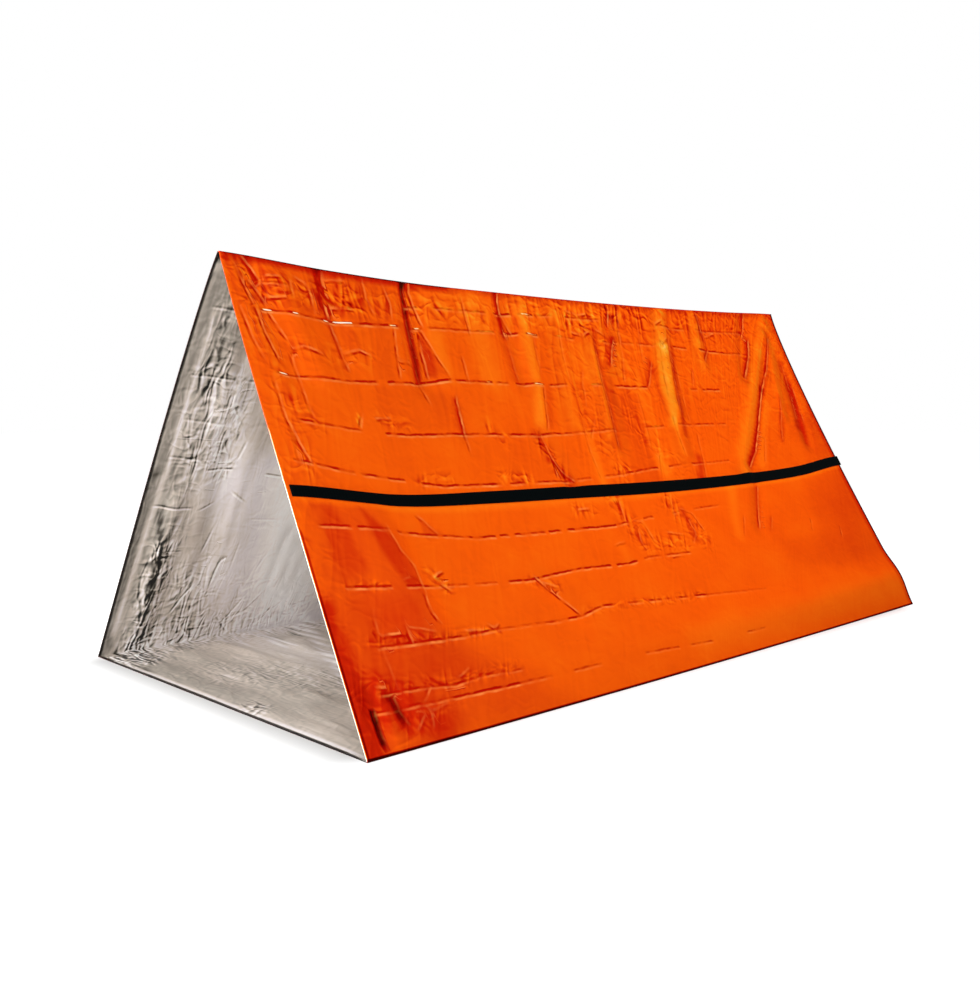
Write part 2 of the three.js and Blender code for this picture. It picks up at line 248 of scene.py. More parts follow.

# Sharp creases that run down or across the slope that shows, each a bump with painted shade in its groove and
# a painted highlight on its lip
SHARP_LINES = table(
    Line,
    ("comma by the corner", 3, (60, 20), (72, 32), (86, 62)),
    ("second comma", 3, (62, 78), (74, 95), (86, 122)),
    ("corner ray", 1.3, (30, 40), (42, 90), (52, 128)),
    ("corner ray", 1.3, (14, 150), (24, 230), (34, 262)),
    ("corner ray", 2, (58, 150), (62, 205), (78, 262)),
    ("corner ray", 1.8, (92, 152), (104, 185), (118, 210)),
    ("edge ray", 1.2, (48, 330), (50, 380), (47, 420)),
    ("edge ray", 1.8, (50, 420), (54, 470), (52, 525)),
    ("edge ray", 1.6, (54, 440), (66, 490), (78, 526)),
    ("front pleat", 2.6, (262, 22), (263, 60), (262, 125)),
    ("front pleat rear side", 1.5, (278, 22), (276, 60), (280, 118)),
    ("its tail", 1.6, (264, 150), (270, 205), (276, 262)),
    ("box top", 1.4, (290, 34), (340, 30)),
    ("box middle", 1.6, (290, 55), (345, 58)),
    ("box middle", 1.6, (288, 82), (338, 80)),
    ("box foot", 1.4, (292, 106), (346, 104)),
    ("dash", 1.8, (118, 54), (150, 50)),
    ("dash", 1.8, (112, 110), (148, 106)),
    ("arc", 1.3, (200, 46), (220, 52), (228, 78), (222, 118)),
    ("ray", 1, (172, 60), (170, 90)),
    ("box edge", 1.1, (402, 30), (400, 66), (412, 100)),
    ("box edge", 1, (470, 30), (478, 70), (470, 104)),
    ("arc in pane", 1.3, (130, 240), (165, 231), (205, 240)),
    ("arc in pane", 2.0, (292, 224), (330, 213), (352, 221)),
    ("pane edge", 1.2, (465, 145), (450, 200), (436, 262)),
    ("pane dash", 1.2, (454, 232), (492, 230)),
    ("pane edge", 1, (118, 262), (120, 330)),
    ("pane edge", 1, (118, 345), (124, 400)),
    ("glint", 1.5, (266, 388), (256, 410)),
    ("pane dash", 1.2, (318, 395), (350, 392)),
    ("great pleat front lip", 0.3, (536, 16), (523, 120), (508, 210), (497, 270)),
    ("great pleat rear lip", 2, (562, 14), (566, 60), (574, 118)),
    ("facet edge", 1.6, (562, 128), (545, 180), (537, 258)),
    ("facet edge", 1.2, (566, 128), (586, 200), (610, 258)),
    ("short pleat", 2.4, (605, 330), (598, 372), (591, 414)),
    ("its foot", 1, (590, 425), (584, 470)),
    ("tail under the crease", 1, (500, 285), (503, 330)),
    ("pane edge", 1.4, (680, 205), (674, 262)),
    ("pane edge", 1, (748, 40), (742, 120)),
    ("middle pleat", 2.6, (897, 10), (890, 60), (882, 122)),
    ("its fork", 1.6, (894, 70), (908, 116)),
    ("its tail", 0.5, (884, 160), (874, 250)),
    ("crest rear side", 0.4, (996, 130), (975, 232)),
    ("crest rear side", 0.9, (962, 286), (936, 340), (912, 402)),
    ("slanting pleat", 1.4, (876, 432), (884, 500), (872, 545)),
    ("slanting pleat", 2.2, (884, 505), (902, 545), (930, 568)),
    ("second crest front side", 0.5, (1120, 100), (1096, 180), (1084, 262)),
    ("second crest foot", 0.4, (1066, 400), (1052, 470), (1048, 560)),
    ("fine line", 0.7, (1135, 290), (1118, 330)),
    ("fine line", 0.7, (1160, 230), (1140, 262)),
    ("fine line", 0.6, (1125, 380), (1085, 432)),
    ("third crest", 0.7, (1272, 130), (1240, 250), (1224, 340), (1188, 460)),
    ("near dashes", 1.5, (1195, 42), (1225, 50)),
    ("near dashes", 1.5, (1242, 52), (1275, 46)),
    ("near dashes", 1.3, (1190, 108), (1215, 112)),
    ("near dashes", 1.8, (1242, 112), (1262, 104)),
    ("near dashes", 1, (1310, 95), (1342, 106)),
    ("pit side", 2, (1392, 20), (1380, 62)),
    ("pit side", 1.8, (1374, 118), (1350, 150), (1326, 190)),
    ("pit rear side", 0.7, (1440, 24), (1418, 80), (1392, 160), (1352, 245)),
    ("step", 1.3, (1522, 190), (1490, 232), (1462, 264)),
    ("ray", 0.5, (1535, 30), (1510, 110), (1486, 180)),
    ("ray", 0.4, (1345, 470), (1368, 400), (1392, 300)),
    ("ray", 0.5, (1335, 560), (1360, 505), (1372, 495)),
    ("gold crest front side", 0.5, (1618, 110), (1568, 215), (1535, 310)),
    ("gold crest rear side", 0.9, (1664, 110), (1614, 232), (1590, 290), (1560, 345)),
    ("gold crest tail", 0.6, (1512, 380), (1500, 430), (1490, 495)),
    ("glint", 1.8, (1630, 62), (1658, 52)),
    ("glint", 1.8, (1622, 128), (1655, 112)),
    ("ray", 0.5, (1652, 200), (1628, 270), (1600, 380)),
    ("ray", 0.7, (1735, 215), (1706, 262)),
    ("ray", 0.6, (1605, 440), (1575, 520), (1545, 585)),
    ("fourth crest rear side", 1.8, (1882, 20), (1878, 100)),
    ("its tail", 2, (1874, 142), (1838, 172)),
    ("ray", 1.1, (1905, 98), (1955, 88)),
    ("rear trough", 1.6, (2190, 22), (2170, 55), (2142, 84)),
    ("rear trough foot", 1.9, (2165, 106), (2128, 158), (2092, 195), (2050, 235)),
    ("main diagonal", 1.6, (2302, 100), (2204, 218), (2110, 292)),
    ("main diagonal foot", 2.6, (2110, 292), (2030, 372), (1985, 418), (1898, 502)),
    ("main diagonal tail", 1.6, (1890, 510), (1818, 558)),
    ("lower fringe", 0.7, (1985, 470), (1925, 545)),
    ("corner fan", 0.8, (2194, 335), (2148, 400), (2098, 474)),
    ("corner fan", 0.8, (2330, 215), (2300, 320), (2252, 430)),
    ("corner fan", 0.8, (2330, 300), (2300, 420)),
    ("low diagonal", 1.6, (1800, 642), (1752, 705), (1704, 778)),
    ("low diagonal", 0.6, (1790, 760), (1752, 802)),
    ("low diagonal", 0.5, (1640, 740), (1600, 800)),
    ("pane boundary", 0.9, (228, 690), (244, 745), (268, 780), (270, 850)),
    ("pane boundary foot", 1.6, (266, 845), (268, 905), (280, 925)),
    ("small facet edge", 1.2, (338, 655), (372, 695)),
    ("double crease", 1.2, (232, 820), (262, 812)),
    ("gold glint", 2.2, (326, 812), (346, 803)),
    ("gold glint foot", 1.3, (330, 830), (346, 846)),
    ("low slanting crease", 1.8, (640, 852), (672, 892), (705, 930), (735, 968)),
    ("its fork", 1.1, (660, 868), (690, 880)),
    ("upper line of the seventh", 2, (118, 957), (186, 952)),
    ("its corner", 1.6, (190, 940), (192, 966)),
    ("upper line of the seventh", 1.1, (200, 940), (262, 955)),
    ("upper line of the seventh", 1, (355, 962), (400, 968)),
    ("zigzag", 1.6, (430, 958), (444, 970), (456, 962)),
    ("front line", 0.6, (118, 900), (113, 945)),
    ("front line", 0.3, (111, 985), (117, 1050)),
    ("pink glint", 3, (108, 945), (112, 958)),
    ("lower pink glint", 1.5, (84, 1070), (118, 1078)),
    ("wave", 1.1, (300, 1072), (322, 1062)),
    ("cross of the wave", 1.4, (200, 1082), (180, 1104)),
    ("black foot pleat", 0.7, (50, 1118), (49, 1150), (50, 1182)),
    ("second foot pleat", 0.5, (105, 1092), (108, 1120), (118, 1152)),
    ("fine foot glint", 0.6, (150, 1172), (172, 1150)),
    ("fine foot glint", 0.8, (182, 1140), (177, 1166)),
    ("fine foot glint", 0.5, (200, 1142), (232, 1134)),
    ("crumple", 1.1, (1062, 645), (1072, 668)),
    ("crumple", 1.1, (1078, 640), (1066, 700)),
    ("crumple", 1.0, (1100, 745), (1090, 780), (1098, 800)),
    ("crumple", 0.7, (1110, 715), (1140, 720), (1150, 775)),
    ("crumple", 0.8, (1318, 640), (1298, 695)),
    ("crumple", 0.8, (1345, 690), (1385, 705), (1402, 765)),
    ("crumple", 1.0, (1350, 730), (1355, 770), (1330, 795)),
    ("crumple", 1, (1225, 762), (1290, 775)),
    ("dash", 1.3, (905, 665), (935, 664)),
    ("dash", 0.9, (985, 783), (1022, 778)),
    ("dash", 1, (1205, 845), (1252, 846)),
    ("rear dash", 1, (2012, 800), (2000, 822)),
    ("rear dash", 1.1, (2176, 850), (2160, 880)),
)

# Streaks of painted light and shade on the slope that shows: painted highlights where pulled
# film takes the light, painted shade where it turns from it, painted glints and painted dark
# lines of shade along its ridge, foot and edges
SEEN_STREAKS = table(
    Streak,
    ("first crest", 24, 0.12, (990, 30), (955, 230), (893, 400)),
    ("its dark side", 14, -0.16, (985, 285), (930, 400)),
    ("second crest", 18, 0.19, (1128, 40), (1102, 180), (1085, 262)),
    ("second crest foot", 18, 0.16, (1065, 290), (1040, 400)),
    ("second crest tail", 22, 0.18, (1078, 420), (1062, 500), (1052, 592)),
    ("third crest", 13, 0.22, (1262, 130), (1230, 280), (1192, 400)),
    ("long trough", 15, -0.24, (1285, 130), (1242, 300), (1196, 460)),
    ("pit", 13, -0.48, (1384, 108), (1352, 150), (1322, 195)),
    ("upper pit", 10, -0.4, (1394, 14), (1376, 66)),
    ("pit crest", 14, 0.14, (1415, 76), (1385, 180), (1350, 245)),
    ("pane lift", 30, 0.14, (1420, 270), (1395, 400), (1360, 560)),
    ("pane lift foot", 18, 0.13, (1372, 490), (1352, 545)),
    ("step", 15, -0.29, (1520, 190), (1490, 230), (1458, 262)),
    ("step rear", 16, -0.2, (1530, 200), (1510, 300), (1500, 370)),
    ("gold crest head", 30, 0.48, (1680, 4), (1650, 60), (1626, 130)),
    ("gold crest", 30, 0.3, (1622, 130), (1580, 235), (1540, 320), (1515, 392)),
    ("gold crest tail", 11, 0.24, (1512, 385), (1500, 440), (1489, 495)),
    ("its dark side", 15, -0.32, (1668, 140), (1618, 245), (1580, 330), (1545, 430)),
    ("dark foot", 17, -0.32, (1562, 515), (1522, 588)),
    ("fourth crest", 22, 0.33, (1860, 8), (1834, 118)),
    ("fourth crest foot", 18, 0.17, (1834, 118), (1808, 200)),
    ("its dark side", 12, -0.32, (1885, 14), (1880, 104)),
    ("its dark tail", 10, -0.4, (1876, 142), (1840, 172)),
    ("rear trough", 13, -0.36, (2188, 14), (2170, 55), (2146, 84)),
    ("rear trough foot", 14, -0.4, (2166, 104), (2126, 158), (2052, 238)),
    ("rear crest", 30, 0.18, (2285, 70), (2205, 150)),
    ("rear crest foot", 32, 0.28, (2205, 150), (2055, 298), (1945, 402), (1812, 512), (1776, 585)),
    ("main diagonal", 18, -0.34, (2312, 88), (2206, 214), (2112, 294)),
    ("main diagonal foot", 15, -0.6, (2118, 288), (2034, 368), (1984, 420), (1900, 500), (1818, 556)),
    ("its lit side", 24, 0.16, (2106, 340), (2002, 438), (1898, 560)),
    ("corner crest", 28, 0.18, (2322, 30), (2310, 130), (2240, 270), (2178, 384)),
    ("corner trough", 20, -0.29, (2334, 210), (2292, 370), (2245, 445)),
    ("inner fan", 14, -0.27, (2200, 330), (2128, 445), (2094, 478)),
    ("outer fan", 18, -0.29, (2322, 285), (2290, 420), (2256, 510)),
    ("rear edge", 16, -0.24, (2385, 20), (2385, 1190)),
    ("great pleat", 11.5, -0.84, (546, 8), (529, 130), (517, 220), (504, 272)),
    ("front pleat", 13, -0.4, (270, 12), (268, 60), (264, 128)),
    ("front pleat tail", 10, -0.22, (265, 134), (276, 262)),
    ("comma by the corner", 6, -0.45, (60, 20), (74, 36), (88, 66)),
    ("second comma", 6, -0.45, (62, 78), (76, 97), (92, 128)),
    ("middle pleat", 12, -0.48, (894, 6), (884, 124)),
    ("middle pleat tail", 14, -0.16, (882, 130), (872, 262)),
    ("short pleat", 11, -0.32, (605, 325), (590, 424)),
    ("slanting pleat", 20, -0.34, (866, 428), (886, 520), (924, 570)),
    ("lit pane", 30, 0.2, (615, 140), (600, 250)),
    ("lit pane", 46, 0.17, (790, 20), (770, 262)),
    ("pane by the great pleat", 40, -0.06, (430, 145), (400, 262)),
    ("low lit diagonal", 26, 0.16, (1650, 640), (1600, 725), (1570, 800)),
    ("low dark diagonal", 14, -0.22, (1802, 636), (1704, 780)),
    ("low dark diagonal", 12, -0.13, (1786, 762), (1750, 804)),
    ("dark strip by the opening", 34, -0.36, (6, 880), (14, 1000), (22, 1211)),
    ("black foot pleat", 7, -1.04, (50, 1112), (50, 1184)),
    ("second foot pleat", 11, -0.56, (101, 1088), (108, 1120), (118, 1152)),
    ("crumple", 12, -0.24, (1094, 745), (1098, 792)),
    ("crumple", 16, -0.29, (1350, 700), (1348, 790)),
    ("crumple", 9, 0.11, (1146, 712), (1152, 790)),
    ("lit box", 22, 0.1, (1010, 790), (1010, 838)),
    ("lit box", 26, 0.07, (1250, 790), (1252, 822)),
    ("ridge light", 44, 0.09, (600, 56), (1300, 50)),
    ("ridge line", 5, -0.5, (0, 3), (2400, 3)),
    ("ridge line by the corner", 5, -0.8, (16, 2), (700, 2)),
    ("foot line", 5, -2.2, (0, 1211), (2400, 1211)),
    ("foot light", 60, 0.11, (1150, 1120), (2400, 1120)),
    ("foot corner", 60, -0.26, (70, 1090), (200, 1180)),
    ("front edge light", 1.2, 1.6, (0, 450), (0, 1211)),
    ("front edge dark", 2, -0.6, (5, 700), (5, 1211)),
    ("rear edge line", 7, -2.1, (2399, 0), (2399, 1211)),
    ("light below the band", 2.4, 0.45, (8, 622), (600, 626), (1200, 628), (1800, 627), (2400, 627)),
    ("glint", 2, 2.3, (80, 141), (100, 140)),
    ("glint", 2, 2.1, (157, 140), (170, 140)),
    ("glint", 2, 2.1, (250, 138.5), (266, 138)),
    ("glint", 2.4, 2.3, (280, 138), (332, 136.5)),
    ("glint", 2, 1.6, (462, 129), (480, 128)),
    ("glint", 2, 1.7, (554, 124), (564, 123)),
    ("glint", 2, 2.2, (72, 307), (92, 306.5)),
    ("glint", 2, 0.9, (500, 281), (524, 278)),
    ("glint", 2, 1.0, (744, 270), (760, 270)),
    ("glint", 4, 0.8, (326, 813), (346, 805)),
    ("gold glint", 2.2, 1.1, (978, 118), (1020, 118)),
    ("gold glint", 2.2, 1.0, (978, 61), (1022, 59)),
    ("gold glint", 2.2, 1.1, (930, 272), (966, 272)),
    ("gold glint", 2.2, 0.6, (784, 120), (838, 119)),
    ("gold glint", 2.2, 0.7, (545, 64), (570, 64)),
    ("gold glint", 2.2, 0.7, (1108, 119), (1124, 119)),
    ("gold glint", 2.2, 0.7, (1188, 265), (1222, 265)),
    ("gold glint", 2.4, 0.4, (1392, 402), (1436, 400)),
    ("gold glint", 4, 0.7, (262, 388), (254, 412)),
)

# Sharp creases of the far slope's silver side, each a painted dark line with a painted light one beside it,
# where a depth below 0 draws a painted light line
FAR_LINES = table(
    Line,
    ("crosswise crease", 1.0, (112, 141), (44, 141)),
    ("crosswise crease", 1.2, (215, 321), (44, 322)),
    ("short crosswise crease", 0.7, (190, 452), (60, 446)),
    ("crosswise crease", 1.0, (135, 562), (50, 556)),
    ("crosswise crease", 1.4, (140, 712), (46, 706)),
    ("short crosswise crease", 0.6, (420, 750), (350, 748)),
    ("low crosswise crease", 0.8, (150, 856), (85, 850)),
    ("glint", -2.2, (168, 597), (228, 592)),
    ("gold glint", -2.6, (345, 600), (382, 604)),
    ("glint", -1.2, (262, 668), (292, 688)),
    ("glint", -1.5, (180, 720), (205, 706)),
    ("ridge of a crumple", 1.4, (244, 500), (238, 560)),
    ("ridge of a crumple", 1.2, (212, 440), (176, 395), (168, 345)),
    ("short rib", 1.3, (234, 795), (222, 860)),
    ("dark rib", 2.6, (288, 885), (278, 985)),
    ("dark rib head", 1.2, (322, 884), (262, 882)),
    ("fine rib", 0.9, (328, 840), (326, 930)),
    ("fine rib", 0.9, (432, 890), (420, 935)),
    ("fine rib", 0.9, (505, 930), (502, 990)),
    ("fine rib", 0.9, (528, 925), (526, 990)),
    ("dark pair", 2.4, (216, 1000), (200, 1030), (186, 1062)),
    ("foot rib", 1.4, (410, 1050), (380, 1120)),
    ("foot rib", 1.4, (345, 1130), (385, 1185)),
    ("foot rib", -1.2, (470, 1040), (430, 1100)),
    ("foot rib", 1.2, (560, 1090), (510, 1150)),
    ("foot glint", -2.0, (240, 1160), (256, 1178)),
)

# Where the slope that shows is crinkled more than around, and how much
SEEN_CRINKLES = table(
    Streak,
    ("front corner", 40, 0.6, (20, 20), (60, 140)),
    ("first row of boxes", 46, 1.0, (90, 78), (350, 76)),
    ("between the pleats", 40, 0.6, (360, 70), (500, 74)),
    ("behind the great pleat", 44, 0.8, (570, 62), (820, 70)),
    ("top row", 44, 0.5, (900, 60), (1160, 62)),
    ("top row", 44, 0.8, (1180, 72), (1310, 66)),
    ("top row", 34, 0.8, (1310, 42), (1560, 38)),
    ("top row", 44, 0.35, (1600, 50), (2150, 60)),
    ("above the second crease", 26, 0.4, (110, 225), (350, 226)),
    ("by the corner", 34, 0.4, (60, 200), (70, 560)),
    ("above the third crease", 24, 0.8, (90, 380), (130, 425)),
    ("above the third crease", 24, 0.7, (330, 390), (400, 405)),
    ("knot on the third crease", 20, 1.0, (690, 405), (730, 440)),
    ("above the fourth crease", 18, 0.9, (385, 552), (480, 548)),
    ("knot on the fourth crease", 20, 1.1, (670, 552), (760, 556)),
    ("slanting pleat", 30, 0.9, (870, 450), (900, 555)),
    ("second crest", 50, 0.25, (1090, 290), (1150, 560)),
    ("knot on the fourth crease", 16, 0.7, (1140, 540), (1195, 545)),
    ("third crest", 50, 0.2, (1180, 250), (1150, 480)),
    ("pit", 50, 0.4, (1300, 120), (1400, 250)),
    ("pane lift", 60, 0.3, (1320, 400), (1440, 570)),
    ("below the band", 40, 0.7, (1060, 640), (1120, 800)),
    ("below the band", 40, 0.7, (1300, 650), (1390, 800)),
    ("boxes below the band", 30, 0.8, (1180, 780), (1290, 800)),
    ("short line below the band", 16, 0.9, (880, 662), (960, 664)),
    ("knot by the sixth crease", 18, 0.9, (310, 800), (350, 840)),
    ("sixth crease", 12, 0.7, (80, 826), (180, 826)),
    ("seventh crease", 12, 0.6, (90, 962), (450, 966)),
    ("eighth crease", 18, 0.6, (60, 1072), (470, 1078)),
    ("foot corner", 30, 0.22, (130, 1160), (260, 1120)),
    ("foot corner", 30, 0.15, (30, 1060), (110, 1170)),
    ("slanting crease", 18, 0.7, (610, 850), (700, 880)),
    ("low creases", 14, 0.6, (760, 962), (1260, 980)),
)

# Where the far slope's silver side is crinkled, and how much
FAR_CRINKLES = table(
    Streak,
    ("upper strip", 42, 0.5, (80, 140), (95, 320)),
    ("middle strip", 60, 0.7, (100, 320), (118, 570)),
    ("lower strip", 40, 0.3, (110, 570), (110, 840)),
    ("black crumple", 40, 1.5, (100, 850), (104, 1000), (106, 1200)),
    ("rear of the strip", 40, 0.7, (180, 340), (200, 600)),
    ("spray", 70, 0.8, (200, 960), (250, 1150)),
    ("rear foot", 60, 0.35, (320, 1010), (620, 1040)),
    ("by the floor", 60, 0.9, (120, 1180), (620, 1140)),
)

# Where the floor's silver side is crinkled, and how much
FLOOR_CRINKLES = table(
    Streak,
    ("far corner", 60, 2.1, (40, 1190), (70, 1080)),
    ("along the far slope", 90, 0.7, (60, 1200), (700, 1160)),
    ("small crumple", 30, 1.0, (30, 470), (50, 430)),
    ("middle", 110, 0.4, (180, 800), (320, 500)),
)

# Panes of the slope that shows, each painted lighter or darker as one for the light or shade it takes
SEEN_FACETS = table(
    Facet,
    ("triangle by the great pleat", 6, -0.32, (560, 136), (536, 264), (613, 266)),
    ("pane by the front pleat", 8, -0.14, (286, 148), (332, 146), (350, 222), (300, 214)),
    ("front row", 30, -0.09, (0, 0), (500, 0), (500, 130), (0, 140)),
    ("first crest", 9, 0.18, (978, 20), (1016, 20), (968, 262), (925, 262)),
    ("first crest foot", 8, 0.2, (928, 272), (966, 272), (906, 402), (868, 398)),
    ("third crest side", 10, 0.1, (1150, 128), (1262, 128), (1238, 262), (1105, 262)),
    ("gold crest", 10, 0.26, (1590, 128), (1655, 128), (1560, 345), (1520, 395), (1498, 390), (1512, 275)),
    ("upper dark pane", 12, -0.14, (64, 635), (104, 632), (150, 790), (64, 832)),
    ("boundary pane", 9, -0.2, (172, 628), (228, 692), (268, 782), (266, 850), (232, 832), (196, 750)),
    ("lower left panes", 60, -0.15,
     (30, 600), (215, 600), (270, 780), (285, 930), (520, 1100), (560, 1215), (0, 1215)),
    ("foot panes", 40, -0.09, (70, 850), (262, 850), (300, 975), (420, 1080), (70, 1100)),
    ("small facet", 6, -0.18, (338, 652), (394, 698), (336, 702)),
    ("rear shade", 50, -0.1, (2040, 700), (2180, 640), (2400, 590), (2400, 1050), (2060, 985)),
    ("rear shade core", 60, -0.04, (2180, 720), (2400, 650), (2400, 960), (2200, 960)),
    ("middle shade", 30, -0.07, (1780, 850), (2060, 850), (2060, 982), (1780, 955)),
    ("upper rear shade", 40, -0.1, (2230, 440), (2400, 380), (2400, 590), (2200, 590)),
    ("upper middle shade", 14, -0.12, (1258, 268), (1372, 268), (1316, 590), (1190, 590)),
    ("ridge shade", 30, -0.08, (1420, 0), (2150, 0), (2120, 100), (1400, 100)),
    ("pane", 16, -0.03, (610, 420), (860, 420), (860, 565), (610, 565)),
    ("pane", 14, -0.06, (340, 300), (590, 300), (590, 420), (340, 420)),
)

# Streaks of painted light and shade on the far slope's silver side, from -1 black to 1 white
FAR_STREAKS = table(
    Streak,
    ("shade under the ridge", 12, -1.3, (0, 4), (90, 2)),
    ("front edge", 5, -1.1, (2, 0), (2, 1211)),
    ("shaded strip", 18, -0.2, (24, 60), (22, 600)),
    ("shaded strip foot", 13, -0.34, (16, 600), (14, 1211)),
    ("strip fold", 7, 0.5, (46, 140), (48, 500), (38, 850), (26, 1120)),
    ("upper panes", 60, -0.25, (90, 60), (90, 330)),
    ("first crumple", 7, -0.25, (82, 180), (92, 240), (100, 292)),
    ("second crumple", 8, -0.2, (90, 330), (96, 380), (108, 420)),
    ("second crumple light", 7, 0.45, (104, 335), (116, 400), (128, 438)),
    ("pane line", 3, -0.4, (143, 160), (143, 320)),
    ("warm pane", 20, -0.2, (108, 450), (118, 545)),
    ("bright ribs", 4, 0.6, (98, 455), (106, 540)),
    ("bright ribs", 4, 0.5, (126, 450), (130, 540)),
    ("small crumple", 6, 0.7, (170, 345), (178, 400), (205, 440)),
    ("small crumple", 7, 0.7, (150, 450), (165, 540), (200, 590)),
    ("dark diagonal", 7, -0.7, (62, 732), (74, 790), (92, 842)),
    ("dark diagonal", 6, -0.5, (104, 760), (100, 840)),
    ("light rib", 5, 0.3, (122, 740), (112, 830)),
    ("black crumple", 13, -0.9, (98, 852), (92, 900), (100, 985)),
    ("black crumple", 8, -0.85, (122, 930), (124, 992)),
    ("its light", 4, 0.7, (110, 930), (114, 990)),
    ("black crumple", 9, -0.8, (98, 990), (102, 1060), (104, 1100)),
    ("black foot", 12, -0.85, (112, 1110), (114, 1190)),
    ("black foot", 9, -0.7, (82, 1110), (90, 1190)),
    ("foot light", 5, 0.8, (94, 1110), (80, 1170)),
    ("foot light", 5, 0.8, (40, 1180), (60, 1205)),
    ("foot dark", 6, -0.8, (34, 1170), (46, 1211)),
    ("shadow patch", 10, -0.25, (205, 1070), (190, 1110)),
    ("glint", 6, 0.8, (158, 1140), (170, 1152)),
    ("glint dark", 5, -0.5, (172, 1138), (160, 1158)),
    ("light field", 130, 0.3, (320, 640), (440, 800), (580, 1000)),
    ("light field head", 60, 0.16, (180, 590), (260, 760)),
    ("upper light", 60, 0.2, (170, 300), (230, 620)),
    ("front column", 42, -0.08, (46, 60), (56, 1160)),
    ("rear light", 110, 0.75, (440, 600), (560, 1040)),
    ("foot light", 62, 0.26, (130, 1190), (620, 1170)),
    ("shaded strip low", 44, -0.16, (56, 560), (48, 1000)),
    ("low rear", 130, 0.4, (320, 960), (600, 1160)),
    ("deep rear light", 120, 0.5, (660, 900), (800, 1180)),
    ("rear glint", 9, 0.7, (416, 1109), (444, 1102)),
    ("rear rib dark", 6, -0.4, (503, 1011), (517, 974)),
    ("rear rib", 6, 0.4, (522, 1024), (539, 977)),
    ("rear rib", 7, 0.35, (591, 1023), (615, 998)),
    ("rear rib dark", 6, -0.35, (427, 956), (436, 920)),
    ("rear crumple", 9, 0.7, (663, 1179), (690, 1211)),
)

# Streaks of painted light and shade on the floor's silver side: along, and distance across from the seen
# slope's foot
FLOOR_STREAKS = table(
    Streak,
    ("crumple by the corner", 9, -0.8, (30, 1180), (60, 1140)),
    ("crumple by the corner", 7, 0.7, (62, 1200), (80, 1120)),
    ("crumple by the corner", 7, -0.7, (40, 1110), (70, 1070)),
    ("crumple by the corner", 7, -0.6, (92, 1180), (100, 1060)),
    ("crumple by the corner", 6, -0.5, (20, 1040), (30, 960)),
    ("glint", 5, 0.8, (104, 760), (112, 735)),
    ("glint", 4, 0.7, (140, 775), (146, 752)),
    ("small crumple", 5, 0.7, (28, 480), (36, 440), (50, 420)),
    ("small crumple", 5, -0.5, (22, 470), (46, 445)),
    ("soft hump", 12, 0.25, (160, 520), (200, 470)),
    ("soft hump", 12, 0.25, (250, 640), (300, 570)),
    ("soft hump", 22, 0.25, (280, 860), (320, 880)),
    ("soft hollow", 24, -0.1, (170, 900), (220, 950)),
    ("long rib", 8, 0.35, (330, 1180), (370, 1060)),
    ("long rib dark", 7, -0.45, (212, 1200), (204, 1120)),
    ("rear part", 130, 0.27, (420, 0), (420, 1220)),
    ("deep rear light", 120, 0.4, (620, 1190), (860, 950)),
    ("rear crumple", 8, 0.8, (487, 1124), (446, 1027), (431, 972)),
    ("rear crumple dark", 7, -0.4, (503, 1124), (460, 1027)),
    ("rear crumple", 8, 0.7, (600, 1150), (552, 1040)),
    ("rear crumple dark", 8, -0.7, (585, 1150), (535, 1035)),
    ("rear crumple crest", 9, 0.8, (661, 1190), (621, 1111), (583, 1031), (640, 1050)),
    ("rear crumple hollow", 12, -0.5, (665, 1150), (625, 1075)),
    ("rear crumple dark", 7, -0.5, (451, 1214), (434, 1151)),
    ("by the far slope", 60, 0.2, (180, 1190), (600, 1190)),
    ("front part", 50, -0.14, (56, 560), (56, 1000)),
    ("by the seen slope", 120, 0.14, (0, 210), (420, 190)),
    ("front edge", 4.5, -2.4, (2, 0), (2, 1220)),
    ("front edge light", 4, 1.0, (13, 0), (13, 1220)),
)


def srgb(code: str) -> tuple[float, float, float, float]:
    """Turns an sRGB hex colour to linear light.

    Each channel c is c / 12.92 below 0.04045, and ((c + 0.055) / 1.055) ** 2.4 above it.

    Args:
        code: six hex digits, with or without a leading hash.

    Returns:
        The linear red, green, blue and an alpha of 1.
    """
    digits = code.lstrip("#")
    channels = [int(digits[i:i + 2], 16) / 255 for i in (0, 2, 4)]
    linear = [c / 12.92 if c <= 0.04045 else ((c + 0.055) / 1.055) ** 2.4 for c in channels]
    return (*linear, 1.0)


def bell(distance: np.ndarray, reach: float | np.ndarray) -> np.ndarray:
    """Half a cosine wave: 1 in the middle and 0 at the given reach."""
    return 0.5 + 0.5 * np.cos(np.pi * np.minimum(1, np.abs(distance) / reach))


def smooth_step(share: np.ndarray) -> np.ndarray:
    """The cubic that rises from 0 at 0 to 1 at 1, level at both ends."""
    return share * share * (3 - 2 * share)


def smooth_curve(values: tuple[float, ...], t: np.ndarray) -> np.ndarray:
    """Reads a smooth curve through values that are set evenly along the tube.

    Between two values the curve is the cubic that leaves each of them at half the slope
    between its neighbours, with the end values repeated.

    Args:
        values: the curve's values, from the front opening to the rear one.
        t: where to read it, 0 at the front opening and 1 at the rear one.

    Returns:
        The curve's value at each t.
    """
    v = np.asarray(values, float)
    last = len(v) - 1
    place = last * np.clip(t, 0, 1)
    i = np.minimum(np.floor(place).astype(int), last)
    w = place - i
    before, here = v[np.maximum(i - 1, 0)], v[i]
    after, beyond = v[np.minimum(i + 1, last)], v[np.minimum(i + 2, last)]
    leave, arrive = (after - before) / 2, (beyond - here) / 2
    cubic = (2 * here - 2 * after + leave + arrive) * w**3
    return cubic + (3 * after - 3 * here - 2 * leave - arrive) * w**2 + leave * w + here


